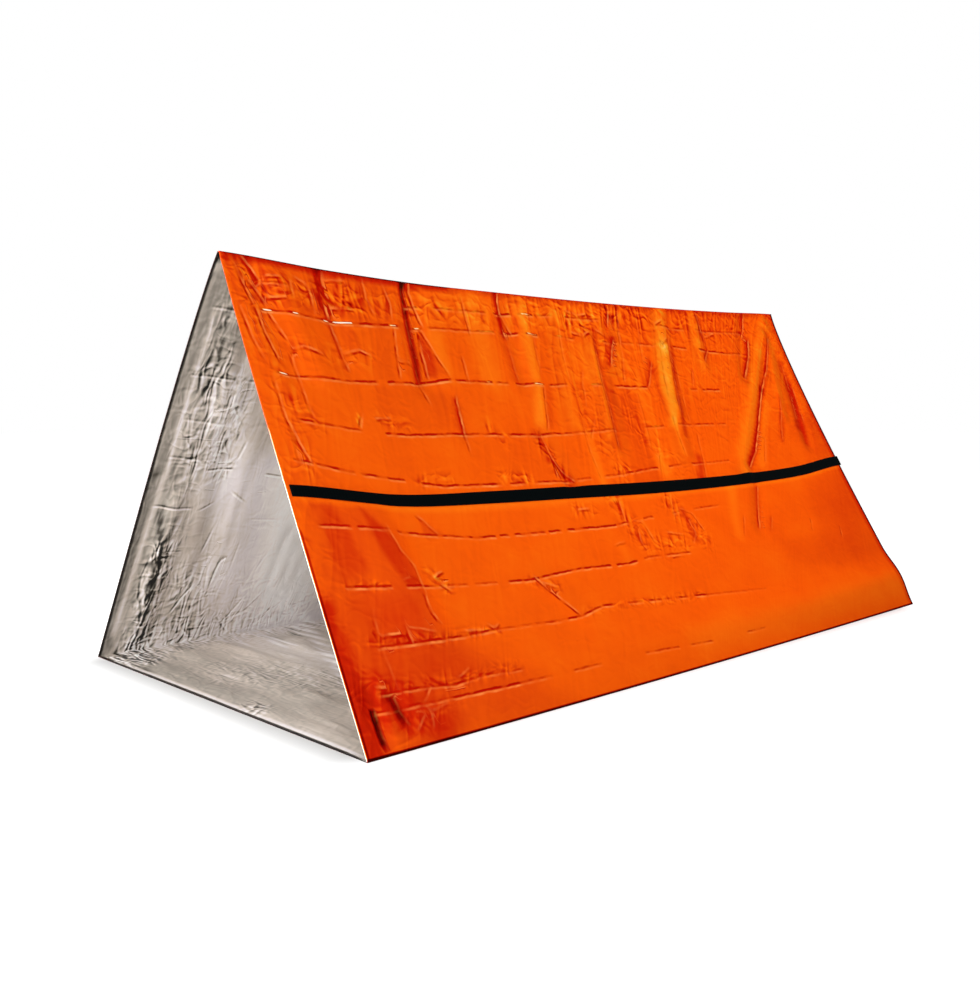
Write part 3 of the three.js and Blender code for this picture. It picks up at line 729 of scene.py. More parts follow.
def path_offsets(
    path: tuple[Place, ...], along: np.ndarray, down: np.ndarray
) -> tuple[np.ndarray, np.ndarray]:
    """Finds how far each place lies from a path of straight runs.

    A place belongs to the run it is nearest to. Its signed distance is its distance across
    that run, plus on the run's left, and its overshoot is how far it lies beyond the ends.

    Args:
        path: two or more places, in mm.
        along, down: places on the film, in mm.

    Returns:
        The signed distance and the overshoot of every place, in mm.
    """
    best = np.full(np.shape(along), np.inf)
    across, beyond = np.zeros_like(best), np.zeros_like(best)
    last = len(path) - 2
    for index, ((a0, d0), (a1, d1)) in enumerate(zip(path, path[1:])):
        run = math.hypot(a1 - a0, d1 - d0)
        ua, ud = (a1 - a0) / run, (d1 - d0) / run
        onward = (along - a0) * ua + (down - d0) * ud
        sideways = (along - a0) * ud - (down - d0) * ua
        past = np.maximum(0, np.maximum(-onward, onward - run))
        distance = np.hypot(sideways, past)
        closer = distance < best
        best = np.where(closer, distance, best)
        across = np.where(closer, sideways, across)
        at_end = ((index == 0) & (onward < 0)) | ((index == last) & (onward > run))
        beyond = np.where(closer, np.where(at_end, past, 0), beyond)
    return across, beyond


def fold_relief(folds: tuple[Fold, ...], along: np.ndarray, down: np.ndarray) -> np.ndarray:
    """Adds up the soft folds.

    Each fold is its height times a bell of the distance across it, times a bell of the
    distance past its ends.

    Args:
        folds: the folds, in mm.
        along, down: places on the film, in mm.

    Returns:
        The height out of the film, in mm.
    """
    total = np.zeros(np.shape(along))
    for fold in folds:
        across, beyond = path_offsets(fold.path, along, down)
        reach = np.where(across < 0, fold.front, fold.rear)
        total += fold.height * bell(across, reach) * bell(beyond, (fold.front + fold.rear) / 2)
    return total


def streak_tone(streaks: tuple[Streak, ...], along: np.ndarray, down: np.ndarray) -> np.ndarray:
    """Adds up the streaks: each is its tone times a bell across it and a short fade past its ends.

    Args:
        streaks: the streaks, in mm.
        along, down: places on the film, in mm.

    Returns:
        The summed tone or crinkle.
    """
    total = np.zeros(np.shape(along))
    across_fade, end_fade = STREAK_FADE
    for streak in streaks:
        across, beyond = path_offsets(streak.path, along, down)
        shade = streak.tone * bell(across, across_fade * streak.width)
        total += shade * bell(beyond, end_fade * streak.width)
    return total


def facet_tone(facets: tuple[Facet, ...], along: np.ndarray, down: np.ndarray) -> np.ndarray:
    """Adds up the panes.

    The depth of a place in a pane is its least distance inside the pane's edges, found with
    the crossing count of a line to the front for the sign. Tone rises over the blur.

    Args:
        facets: the panes, in mm.
        along, down: places on the film, in mm.

    Returns:
        The summed tone.
    """
    total = np.zeros(np.shape(along))
    for facet in facets:
        ring = (*facet.path, facet.path[0])
        edge = np.full(np.shape(along), np.inf)
        inside = np.zeros(np.shape(along), bool)
        for (a0, d0), (a1, d1) in zip(ring, ring[1:]):
            across, beyond = path_offsets(((a0, d0), (a1, d1)), along, down)
            edge = np.minimum(edge, np.hypot(across, beyond))
            if d0 != d1:
                spans = (down >= min(d0, d1)) & (down < max(d0, d1))
                inside ^= spans & (along < a0 + (a1 - a0) * (down - d0) / (d1 - d0))
        depth = np.where(inside, edge, -edge)
        share = np.clip(0.5 + depth / (2 * facet.blur), 0, 1)
        total += facet.tone * smooth_step(share)
    return total


def nearest_line(
    lines: tuple[Line, ...], along: np.ndarray, down: np.ndarray, reach: float
) -> tuple[np.ndarray, np.ndarray]:
    """Finds each place's nearest sharp crease.

    The depth is the crease's own where the place is close to it, and fades out past its
    ends and away from it, so that nothing shows where one crease's reach meets another's.

    Args:
        lines: the creases, in mm.
        along, down: places on the film, in mm.
        reach: how far from a crease it still counts, in mm.

    Returns:
        The signed distance to the crease in mm, and its depth in mm.
    """
    nearest = np.full(np.shape(along), np.inf)
    offset, depth = np.full(np.shape(along), NO_CREASE), np.zeros(np.shape(along))
    for line in lines:
        across, beyond = path_offsets(line.path, along, down)
        distance = np.hypot(across, beyond)
        closer = distance < nearest
        nearest = np.where(closer, distance, nearest)
        offset = np.where(closer, across, offset)
        here = line.depth * bell(beyond, LINE_END) * (np.abs(across) < reach)
        depth = np.where(closer, here, depth)
    return offset, depth


def pack_crease(along: np.ndarray, down: np.ndarray) -> tuple[np.ndarray, np.ndarray]:
    """Finds each place's nearest packing crease, and how deep it is pressed there.

    Args:
        along, down: places on the film, in mm.

    Returns:
        The signed distance to the crease in mm, plus below it, and its depth in mm.
    """
    best = np.full(np.shape(down), np.inf)
    offset, depth = np.full(np.shape(down), NO_CREASE), np.zeros(np.shape(down))
    for crease in PACK_CREASES:
        across = down - np.interp(along, *zip(*crease.path))
        pressed = np.zeros(np.shape(down))
        for start, end, deep in crease.pressed:
            beyond = np.maximum(0, np.maximum(start - along, along - end))
            pressed = np.maximum(pressed, deep * bell(beyond, PRESS_END))
        closer = np.abs(across) < best
        best = np.where(closer, np.abs(across), best)
        offset = np.where(closer, across, offset)
        depth = np.where(closer, pressed * (np.abs(across) < PACK_REACH), depth)
    return offset, depth


class Crumple(NamedTuple):
    """A layer of even crumple: the size of its facets in mm, along and down, its share, and its seed."""

    cell: Place
    share: float
    seed: int

    def heights(self, along: np.ndarray, down: np.ndarray) -> np.ndarray:
        """Works out the layer's soft-edged facets.

        Random heights on a grid are joined smoothly, and the fold line is where the joined
        value crosses zero: the crumple is 1 less twice its size, so crests are sharp and
        hollows flat. The grid repeats after its last height.

        Args:
            along, down: places on the film, in mm.

        Returns:
            Heights from -1 to 1, times the share.
        """
        size, start = 96, 7
        heights = np.random.default_rng(self.seed).uniform(-1, 1, (size, size))
        a, d = along / self.cell[0] + start, down / self.cell[1] + start
        i, j = np.floor(a).astype(int), np.floor(d).astype(int)
        u, v = smooth_step(a - i), smooth_step(d - j)

        def corner(di: int, dj: int) -> np.ndarray:
            """Heights at one corner of the cell of every place."""
            return heights[(i + di) % size, (j + dj) % size]

        top = corner(0, 0) * (1 - u) + corner(1, 0) * u
        low = corner(0, 1) * (1 - u) + corner(1, 1) * u
        return self.share * (1 - 2 * np.abs(top * (1 - v) + low * v))


@dataclass(frozen=True)
class Slope:
    """How one slope hangs, at even places from the front opening to the rear one.

    drop is how far half-way down the film slips past half-way down the slope, as a share of
    the slope, and hollow is how far it lies inside the straight slope, in mm.
    """

    side: Side
    drop: tuple[float, ...]
    hollow: tuple[float, ...]
    folds: tuple[Fold, ...]


SEEN_SLOPE = Slope(
    Side.SEEN,
    (0.011, 0.037, 0.039, 0.041, 0.045, 0.047, 0.046, 0.041, 0.023),
    (8, 24, 30, 28, 22),
    SEEN_FOLDS,
)
FAR_SLOPE = Slope(Side.FAR, (0.01, 0.03, 0.035, 0.03, 0.02), (-16, 8, 22, 20, 10), FAR_FOLDS)


@dataclass(frozen=True)
class Pitch:
    """The pitched tube's shape, in metres, as the solid has it. The sag and the fades are in mm."""

    width: float = 1.22
    length: float = 2.4
    height: float = 1.046
    ridge_radius: float = 0.004
    ridge_set_back: float = 0.049
    ridge_overhang: float = 0.036
    edge_bow: float = 0.012
    sag: tuple[float, ...] = (0, 17, 26, 26, 25, 21.5, 15.5, 6, -6)
    hollow_lean: float = 0.62
    flare: float = 0.012
    flare_place: float = 0.9
    flare_reach: float = 0.1
    fade_at_ridge: float = 22
    fade_at_opening: float = 55
    fade_at_floor: float = 60

    @property
    def slope_length(self) -> float:
        """Length of a straight slope, from the sharp ridge line to the floor."""
        return math.hypot(self.width / 2, self.height)

    @property
    def girth(self) -> float:
        """Length of film once around the tube: both slopes and the floor."""
        return 2 * self.slope_length + self.width

    @property
    def half_apex(self) -> float:
        """Half the angle between the two slopes."""
        return math.atan2(self.width / 2, self.height)

    @property
    def centre_drop(self) -> float:
        """How far the ridge arc's centre lies below the sharp ridge line."""
        return self.ridge_radius / math.sin(self.half_apex)

    @property
    def ridge_share(self) -> float:
        """Share of a slope that the ridge arc takes up."""
        return self.ridge_radius / math.tan(self.half_apex) / self.slope_length

    @property
    def front_y(self) -> float:
        """Y of the floor's front edge, with the origin under the middle of the tent."""
        return -(self.length + self.ridge_overhang) / 2

    def ridge(self, t: np.ndarray) -> np.ndarray:
        """Sharp ridge line, which sags between its two ends.

        Args:
            t: places along the tube, from 0 to 1.

        Returns:
            The points, in metres.
        """
        run = self.length + self.ridge_overhang - self.ridge_set_back
        sharp = self.height - self.ridge_radius + self.centre_drop
        y = self.front_y + self.ridge_set_back + run * t
        return np.stack([0 * t, y, sharp - smooth_curve(self.sag, t) * MM], -1)

    def foot(self, side: Side, t: np.ndarray) -> np.ndarray:
        """Long edge of the floor, bowed a little outwards as half a sine wave."""
        x = side.value * (self.width / 2 + self.edge_bow * np.sin(np.pi * t))
        return np.stack([x, self.front_y + self.length * t, 0 * t], -1)

    def normal(self, side: Side) -> np.ndarray:
        """Outward direction of a straight slope."""
        out = np.array([side.value * self.height, 0, self.width / 2])
        return out / np.linalg.norm(out)

    def fold_height(self, slope: Slope, t: np.ndarray, share: np.ndarray) -> np.ndarray:
        """Height of a slope's folds, faded out at the ridge, the openings and the floor.

        Args:
            slope: which slope.
            t: places along the tube, from 0 to 1.
            share: places down the film, from 0 at the ridge to 1 at the floor.

        Returns:
            The height out of the slope, in metres.
        """
        along, down = self.length / MM * t, self.slope_length / MM * share
        fade = 1 - bell(down, self.fade_at_ridge)
        fade = fade * (1 - bell(np.minimum(along, self.length / MM - along), self.fade_at_opening))
        fade = fade * (1 - bell(self.slope_length / MM - down, self.fade_at_floor))
        return fold_relief(slope.folds, along, down) * fade * MM

    def slope_points(
        self, slope: Slope, t: np.ndarray, share: np.ndarray, extra: np.ndarray | float
    ) -> np.ndarray:
        """Works out a slope's outer surface.

        A point lies between the ridge and the floor's edge at its share plus the drop times
        half a sine wave, and then out by its folds, less the hollow times a leaning sine wave.

        Args:
            slope: which slope, and how it hangs.
            t: places along the tube, from 0 to 1.
            share: places down the film, from 0 at the ridge to 1 at the floor.
            extra: height to add along the slope's outward direction, in metres.

        Returns:
            The points, in metres.
        """
        t, share = np.broadcast_arrays(t, share)
        slipped = (share + smooth_curve(slope.drop, t) * np.sin(np.pi * share))[..., None]
        points = self.ridge(t) * (1 - slipped) + self.foot(slope.side, t) * slipped
        hollow = smooth_curve(slope.hollow, t) * MM * np.sin(np.pi * share**self.hollow_lean)
        flare = self.flare * t * t * bell(share - self.flare_place, self.flare_reach)
        out = self.fold_height(slope, t, share) + flare - hollow + extra
        return points + out[..., None] * self.normal(slope.side)


PITCH = Pitch()


def new_mesh(name: str, points: np.ndarray, corners: np.ndarray) -> bpy.types.Object:
    """Makes an object of triangles, with its place in its mesh.

    Args:
        name: the object's name.
        points: one row of three coordinates for each vertex.
        corners: one row of three vertex numbers for each triangle.

    Returns:
        The new object, linked to the scene.
    """
    mesh = bpy.data.meshes.new(name)
    mesh.vertices.add(len(points))
    mesh.vertices.foreach_set("co", points.astype(np.float32).ravel())
    mesh.loops.add(corners.size)
    mesh.loops.foreach_set("vertex_index", corners.astype(np.int32).ravel())
    mesh.polygons.add(len(corners))
    mesh.polygons.foreach_set("loop_start", np.arange(0, corners.size, 3, dtype=np.int32))
    mesh.polygons.foreach_set("use_smooth", np.ones(len(corners), bool))
    mesh.update(calc_edges=True)
    mesh.validate()
    made = bpy.data.objects.new(name, mesh)
    bpy.context.scene.collection.objects.link(made)
    return made


def grid_faces(number: np.ndarray) -> np.ndarray:
    """Joins a grid of vertices into triangles, with its last row joined to its first.

    Args:
        number: the vertices' numbers, row by row.

    Returns:
        One row of three vertex numbers for each triangle, two to each square of the grid.
    """
    after = np.roll(number, -1, axis=0)
    a, b, c, d = number[:, :-1], number[:, 1:], after[:, 1:], after[:, :-1]
    return np.stack([np.stack([a, d, c], -1), np.stack([a, c, b], -1)], 2).reshape(-1, 3)


def set_attribute(piece: bpy.types.Object, name: str, values: np.ndarray) -> None:
    """Stores one number for each vertex of a piece."""
    layer = piece.data.attributes.new(name, "FLOAT", "POINT")
    layer.data.foreach_set("value", values.astype(np.float32).ravel())


def set_uv(piece: bpy.types.Object, places: np.ndarray) -> None:
    """Stores one UV place for each triangle corner of a piece."""
    layer = piece.data.uv_layers.new(name="film")
    layer.data.foreach_set("uv", places.astype(np.float32).ravel())


def add_node(
    tree: bpy.types.NodeTree, kind: str, inputs: Any = (), out: int | str = 0, **settings: Any
) -> Any:
    """Adds a node with its settings and links.

    Args:
        tree: the node tree to add to.
        kind: the node's type name, without the leading ShaderNode.
        inputs: sockets to link and values to set, by the inputs' order, or as a dict by name.
        out: the number or name of the output to return.
        **settings: the node's own properties by name, and a colour ramp's stops.

    Returns:
        The chosen output, or None where the node has none.
    """
    node = tree.nodes.new("ShaderNode" + kind)
    stops = settings.pop("stops", ())
    for name, value in settings.items():
        setattr(node, name, value)
    for number, (place, code) in enumerate(stops):
        if number >= len(node.color_ramp.elements):
            node.color_ramp.elements.new(place)
        element = node.color_ramp.elements[number]
        element.position, element.color = place, srgb(code)
    for name, value in inputs.items() if isinstance(inputs, dict) else enumerate(inputs):
        if isinstance(value, bpy.types.NodeSocket):
            tree.links.new(value, node.inputs[name])
        else:
            node.inputs[name].default_value = value
    return node.outputs[out] if node.outputs else None


def cells(size: float) -> int:
    """Whole cells in a metre, for cells of a size in mm."""
    return round(1 / (size * MM))


class Finish:
    """A finish: the name of its material, and the nodes that draw it."""

    name: str

    def draw(self, add: Adder) -> dict[str, Any]:
        """Adds the finish's nodes and returns the principled shader's inputs."""
        raise NotImplementedError

    def build(self) -> bpy.types.Material:
        """Builds the material.

        Returns:
            The new material, with its nodes.
        """
        material = bpy.data.materials.new(self.name)
        material.use_nodes = True
        material.node_tree.nodes.clear()
        add = partial(add_node, material.node_tree)
        add("OutputMaterial", (add("BsdfPrincipled", self.draw(add)),))
        return material


@dataclass(frozen=True)
class Crinkle:
    """Small crinkles of handled film: their size in mm along and down, the step in mm to a fold's lit side.

    Real crinkles are a few millimetres apart as well. Only the larger ones are drawn, because
    the finer ones are smaller than the picture's pixels.
    """

    size: Place
    step: Place
    detail: float

    def draw(self, add: Adder, place: Any) -> tuple[Any, Any]:
        """Adds the crinkle's height, and the painted light and shade that make one side of each fold lighter
        than the other.

        The height is the distance of a smooth noise from its middle value, so that fold lines
        are sharp. The painted light and shade is the height less the height one step away.

        Args:
            add: adds a node to the material.
            place: the socket with the place on the film, in metres.

        Returns:
            The sockets with the height, from 0 to about 0.3, and with the painted light and shade, around 0.
        """
        scale = (cells(self.size[0]), cells(self.size[1]), 1)
        heights = []
        for along, down in ((0, 0), self.step):
            shift = (along * MM * scale[0], down * MM * scale[1], 0)
            spread = add("Mapping", {"Vector": place, "Location": shift, "Scale": scale})
            settings = {"Vector": spread, "Scale": 1.0, "Detail": self.detail, "Distortion": 0.5}
            past = add("Math", (add("TexNoise", settings), -0.5), operation="ADD")
            heights.append(add("Math", (past,), operation="ABSOLUTE"))
        return heights[0], add("Math", heights, operation="SUBTRACT")


@dataclass(frozen=True)
class PrintedFilm(Finish):
    """Metallised polyester film, orange lacquer over aluminium: a coloured mirror, dulled by handling.

    The eye sees a warm orange sheet that is painted gold where it would face the light and
    deep red where it would turn away, with thin creases painted as dark shade with a painted
    highlight on the lip below them. Spans are in mm, and heights too.
    """

    name: str = "printed_metallised_film"
    # The tones run from painted deep shade, through the film's own orange at the middle tone, to painted
    # highlights and glints
    tones: Stops = (
        (0.0, "#3A0402"),
        (0.13, "#A20A02"),
        (0.25, "#CC2406"),
        (0.33, "#E2480B"),
        (0.4, "#F65C0A"),
        (0.5, "#FF7612"),
        (0.6, "#FF8E1C"),
        (0.733, "#FFB53E"),
        (0.87, "#FFD9A8"),
        (1.0, "#FFF4EC"),
    )
    tone_step: float = 0.37
    tone_middle: float = 0.4
    metallic: float = 0.35
    roughness: float = 0.4
    edge_tint: str = "#FF7A28"
    # The groove colour is painted shade in a crease, and the lip colour a painted highlight below it
    groove: str = "#BA1002"
    groove_span: Place = (1.0, 5.0)
    groove_strength: float = 0.52
    groove_height: float = -0.14
    lip: str = "#FF9044"
    lip_below: float = 6.5
    lip_span: Place = (1.0, 4.6)
    lip_strength: float = 0.27
    glint_tones: Place = (0.5, 1.2)
    press_size: float = 33
    press_span: Place = (0.36, 0.66)
    press_levels: Place = (0.3, 1.5)
    wobble: float = 3.2
    wobble_size: float = 26
    drift: float = 0.1
    drift_size: float = 143
    strands: Crinkle = Crinkle((50, 200), (6, 1), 1.0)
    facets: Crinkle = Crinkle((53, 45), (4, -5), 1.6)
    # Weights of the painted light and shade on the crinkles' folds in the tone
    facet_light: float = 1.1
    crinkle_tone: float = 3.3
    crinkle_height: float = 4.0

    def crease(
        self, add: Adder, kind: str, colour: Any, wobble: Any, press: Any, plain: Any
    ) -> tuple[Any, Any]:
        """Draws the creases whose distance and depth are stored under a name: painted shade in each groove
        and a painted highlight on the lip below it, over a bump.

        Args:
            add: adds a node to the material.
            kind: the start of the two attributes' names.
            colour: the colour to draw on.
            wobble: a distance in mm that bends the creases a little.
            press: how hard the creases are pressed here, around 1.
            plain: 1 where the groove's painted shade is drawn, down to 0 on a painted glint.

        Returns:
            The colour with the painted shade and highlight, and the creases' height in mm.
        """
        offset = add("Attribute", attribute_name=kind + "_offset", out="Fac")
        offset = add("Math", (offset, wobble), operation="ADD")
        depth = add("Attribute", attribute_name=kind + "_depth", out="Fac")
        depth = add("Math", (depth, press), operation="MULTIPLY")
        size = add("Math", (offset,), operation="ABSOLUTE")
        near = add("MapRange", (size, *self.groove_span, 1.0, 0.0))
        sunk = add("Math", (near, depth), operation="MULTIPLY")
        dark = add("Math", (sunk, self.groove_strength), operation="MULTIPLY")
        dark = add("Math", (dark, plain), operation="MULTIPLY", use_clamp=True)
        below = add("Math", (offset, -self.lip_below), operation="ADD")
        below = add("Math", (below,), operation="ABSOLUTE")
        lit = add("MapRange", (below, *self.lip_span, 1.0, 0.0))
        lit = add("Math", (lit, depth), operation="MULTIPLY")
        lit = add("Math", (lit, self.lip_strength), operation="MULTIPLY", use_clamp=True)
        colour = add("MixRGB", (dark, colour, srgb(self.groove)))
        colour = add("MixRGB", (lit, colour, srgb(self.lip)))
        return colour, add("Math", (sunk, self.groove_height), operation="MULTIPLY")

    def draw(self, add: Adder) -> dict[str, Any]:
        """Draws the stored tone of painted light and shade and the creases by attribute, and fine wrinkles by
        noise whose lit and shaded sides are painted too.

        Args:
            add: adds a node to the material.

        Returns:
            The principled shader's inputs.
        """
        uv = add("UVMap", uv_map="film")
        flow, amount, painted = (
            add("Attribute", attribute_name=name, out="Fac") for name in ("flow", "crinkle", "tone")
        )
        pulled = add("CombineXYZ", (flow, add("SeparateXYZ", (uv,), out=1)))
        strand, strand_light = self.strands.draw(add, pulled)
        small, small_light = self.facets.draw(add, uv)
        drift, bend, patches = (
            add("TexNoise", {"Vector": uv, "Scale": cells(size), "Detail": detail})
            for size, detail in ((self.drift_size, 2.0), (self.wobble_size, 2.0), (self.press_size, 1.0))
        )
        wobble = add("Math", (bend, 2 * self.wobble, -self.wobble), operation="MULTIPLY_ADD")
        drift = add("Math", (drift, 2 * self.drift, -self.drift), operation="MULTIPLY_ADD")
        tone = add("Math", (painted, drift), operation="ADD")
        # Painted light and shade on the sides of the crinkles' folds, added to the tone
        light = add("Math", (small_light, self.facet_light), operation="MULTIPLY")
        light = add("Math", (strand_light, light), operation="ADD")
        light = add("Math", (light, amount), operation="MULTIPLY")
        tone = add("Math", (light, self.crinkle_tone, tone), operation="MULTIPLY_ADD")
        tone = add("Math", (tone, self.tone_step, self.tone_middle), operation="MULTIPLY_ADD")
        colour = add("ValToRGB", (tone,), stops=self.tones)
        plain = add("MapRange", (painted, *self.glint_tones, 1.0, 0.0))
        press = add("MapRange", (patches, *self.press_span, *self.press_levels))
        colour, packs = self.crease(add, "pack", colour, wobble, press, plain)
        colour, lines = self.crease(add, "line", colour, wobble, press, plain)
        height = add("Math", (packs, lines), operation="ADD")
        wrinkle = add("Math", (strand, small), operation="ADD")
        wrinkle = add("Math", (wrinkle, amount), operation="MULTIPLY")
        height = add("Math", (wrinkle, self.crinkle_height, height), operation="MULTIPLY_ADD")
        return {
            "Base Color": colour,
            "Normal": add("Bump", {"Height": height, "Distance": MM, "Strength": 1.0}),
            "Metallic": self.metallic,
            "Roughness": self.roughness,
            "Specular IOR Level": 0.0,
            "Specular Tint": srgb(self.edge_tint),
        }


@dataclass(frozen=True)
class SilverFilm(Finish):
    """The film's bare aluminium side: a dull mirror, crinkled all over, whose warm and cool greys of light
    and shade are painted from the stored tone.

    A crease is a painted dark line with a painted light one beside it, or the other way round. Spans are in
    mm.
    """

    name: str = "bare_metallised_film"
    tones: Stops = (
        (0.0, "#080706"),
        (0.18, "#4C4740"),
        (0.36, "#9A938A"),
        (0.5, "#C6BBB0"),
        (0.62, "#DAD2CE"),
        (0.72, "#E4DEE0"),
        (0.88, "#F8F4F2"),
        (1.0, "#FFFFFF"),
    )
    tone_step: float = 0.5
    tone_middle: float = 0.5
    metallic: float = 0.4
    roughness: float = 0.34
    line_span: Place = (0.8, 4.5)
    # Painted shade on the crease and a painted highlight 6 mm beside it, each times its depth
    line_tones: tuple[Place, ...] = ((0.0, -0.3), (6.0, 0.36))
    ribs: Crinkle = Crinkle((24, 91), (5, 1), 1.0)
    facets: Crinkle = Crinkle((45, 42), (5, -5), 1.5)
    crinkle_tone: float = 4.5
    crinkle_height: float = 5.0

    def draw(self, add: Adder) -> dict[str, Any]:
        """Draws the stored tone of painted light and shade and the creases by attribute, and ribs of crinkle
        that run down the film with painted lit and shaded sides.

        Args:
            add: adds a node to the material.

        Returns:
            The principled shader's inputs.
        """
        uv = add("UVMap", uv_map="film")
        amount, tone, offset, depth = (
            add("Attribute", attribute_name=name, out="Fac")
            for name in ("crinkle", "tone", "pack_offset", "pack_depth")
        )
        ribs, ribs_light = self.ribs.draw(add, uv)
        small, small_light = self.facets.draw(add, uv)
        # Painted light and shade on the sides of the ribs and facets, added to the tone
        light = add("Math", (ribs_light, small_light), operation="ADD")
        light = add("Math", (light, amount), operation="MULTIPLY")
        tone = add("Math", (light, self.crinkle_tone, tone), operation="MULTIPLY_ADD")
        for place, strength in self.line_tones:
            size = add("Math", (offset, place), operation="SUBTRACT")
            size = add("Math", (size,), operation="ABSOLUTE")
            near = add("MapRange", (size, *self.line_span, 1.0, 0.0))
            near = add("Math", (near, depth), operation="MULTIPLY")
            tone = add("Math", (near, strength, tone), operation="MULTIPLY_ADD")
        tone = add("Math", (tone, self.tone_step, self.tone_middle), operation="MULTIPLY_ADD")
        height = add("Math", (ribs, small), operation="ADD")
        height = add("Math", (height, amount), operation="MULTIPLY")
        height = add("Math", (height, self.crinkle_height), operation="MULTIPLY")
        return {
            "Base Color": add("ValToRGB", (tone,), stops=self.tones),
            "Normal": add("Bump", {"Height": height, "Distance": MM, "Strength": 1.0}),
            "Metallic": self.metallic,
            "Roughness": self.roughness,
        }


@dataclass(frozen=True)
class CutEdge(Finish):
    """The film's cut edge: a thin line at the openings, painted white where it takes the light and black, a
    painted shadow, by the ground.
    """

    name: str = "cut_film_edge"
    tones: Stops = ((0.0, "#050505"), (0.5, "#C23A0A"), (1.0, "#E2DBD6"))
    roughness: float = 0.5
    gloss: float = 0.1

    def draw(self, add: Adder) -> dict[str, Any]:
        """Draws the edge's stored tone of painted light and shade.

        Args:
            add: adds a node to the material.

        Returns:
            The principled shader's inputs.
        """
        tone = add("Attribute", attribute_name="edge", out="Fac")
        tone = add("Math", (tone, 0.5, 0.5), operation="MULTIPLY_ADD")
        return {
            "Base Color": add("ValToRGB", (tone,), stops=self.tones),
            "Roughness": self.roughness,
            "Specular IOR Level": self.gloss,
        }


@dataclass(frozen=True)
class MattTape(Finish):
    """Woven polyester tape, dyed black: matt, with a faint rib across it that only shows close to.

    The real rib is under 1 mm wide, and is drawn nearly 8 mm wide so that it shows.
    """

    name: str = "woven_polyester_tape"
    tones: Stops = ((0.0, "#000203"), (1.0, "#010607"))
    roughness: float = 0.85
    gloss: float = 0.03
    rib_width: float = 7.8957
    rib_height: float = 0.2
    rib_strength: float = 0.6

    def draw(self, add: Adder) -> dict[str, Any]:
        """Draws the rib as a wave along the tape.

        Args:
            add: adds a node to the material.

        Returns:
            The principled shader's inputs.
        """
        wave = {"Vector": add("UVMap", uv_map="film"), "Scale": WAVE_LENGTH / (self.rib_width * MM)}
        rib = add("TexWave", wave, out=1, wave_type="BANDS")
        bump = {"Height": rib, "Distance": self.rib_height * MM, "Strength": self.rib_strength}
        return {
            "Base Color": add("ValToRGB", (rib,), stops=self.tones),
            "Normal": add("Bump", bump),
            "Roughness": self.roughness,
            "Specular IOR Level": self.gloss,
        }


@dataclass(frozen=True)
class StudioPaper(Finish):
    """Matt white studio paper: plain, but for a painted soft shadow where the tent touches it.

    The painted shadow is the tent's footprint, inset and moved a little to the front, and it
    fades out over its reach, darkening the paper's colour and glow. Beyond it the paper glows
    just enough to meet the white background.
    """

    name: str = "matt_studio_paper"
    tones: Stops = ((0.0, "#A4A4A4"), (1.0, "#E7E7E7"))
    roughness: float = 0.9
    glow: float = 0.62
    shadow: float = 0.48
    reach: float = 0.17
    inset: Place = (0.072, 0.08)
    shift: float = -0.09

    def draw(self, add: Adder) -> dict[str, Any]:
        """Draws the painted shadow by the distance past the footprint.

        Args:
            add: adds a node to the material.

        Returns:
            The principled shader's inputs.
        """
        half = (PITCH.width / 2 - self.inset[0], PITCH.length / 2 - self.inset[1], 1)
        past = add("TexCoord", out="Object")
        for operation, other in (
            ("SUBTRACT", ((0, self.shift, 0),)),
            ("ABSOLUTE", ()),
            ("SUBTRACT", (half,)),
            ("MAXIMUM", ((0, 0, 0),)),
        ):
            past = add("VectorMath", (past, *other), operation=operation)
        away = add("VectorMath", (past,), out="Value", operation="LENGTH")
        clear = add("MapRange", (away, 0.0, self.reach, 0.0, 1.0), interpolation_type="SMOOTHSTEP")
        glow = (clear, self.shadow, self.glow - self.shadow)
        return {
            "Base Color": add("ValToRGB", (clear,), stops=self.tones),
            "Roughness": self.roughness,
            "Emission Color": srgb("#FFFFFF"),
            "Emission Strength": add("Math", glow, operation="MULTIPLY_ADD"),
        }


class Row(NamedTuple):
    """One line of the mesh along the tube: its points, the step to the inner ones, its place on the film."""

    outer: np.ndarray
    inward: np.ndarray
    down: np.ndarray
    girth: np.ndarray
    side: Side | None


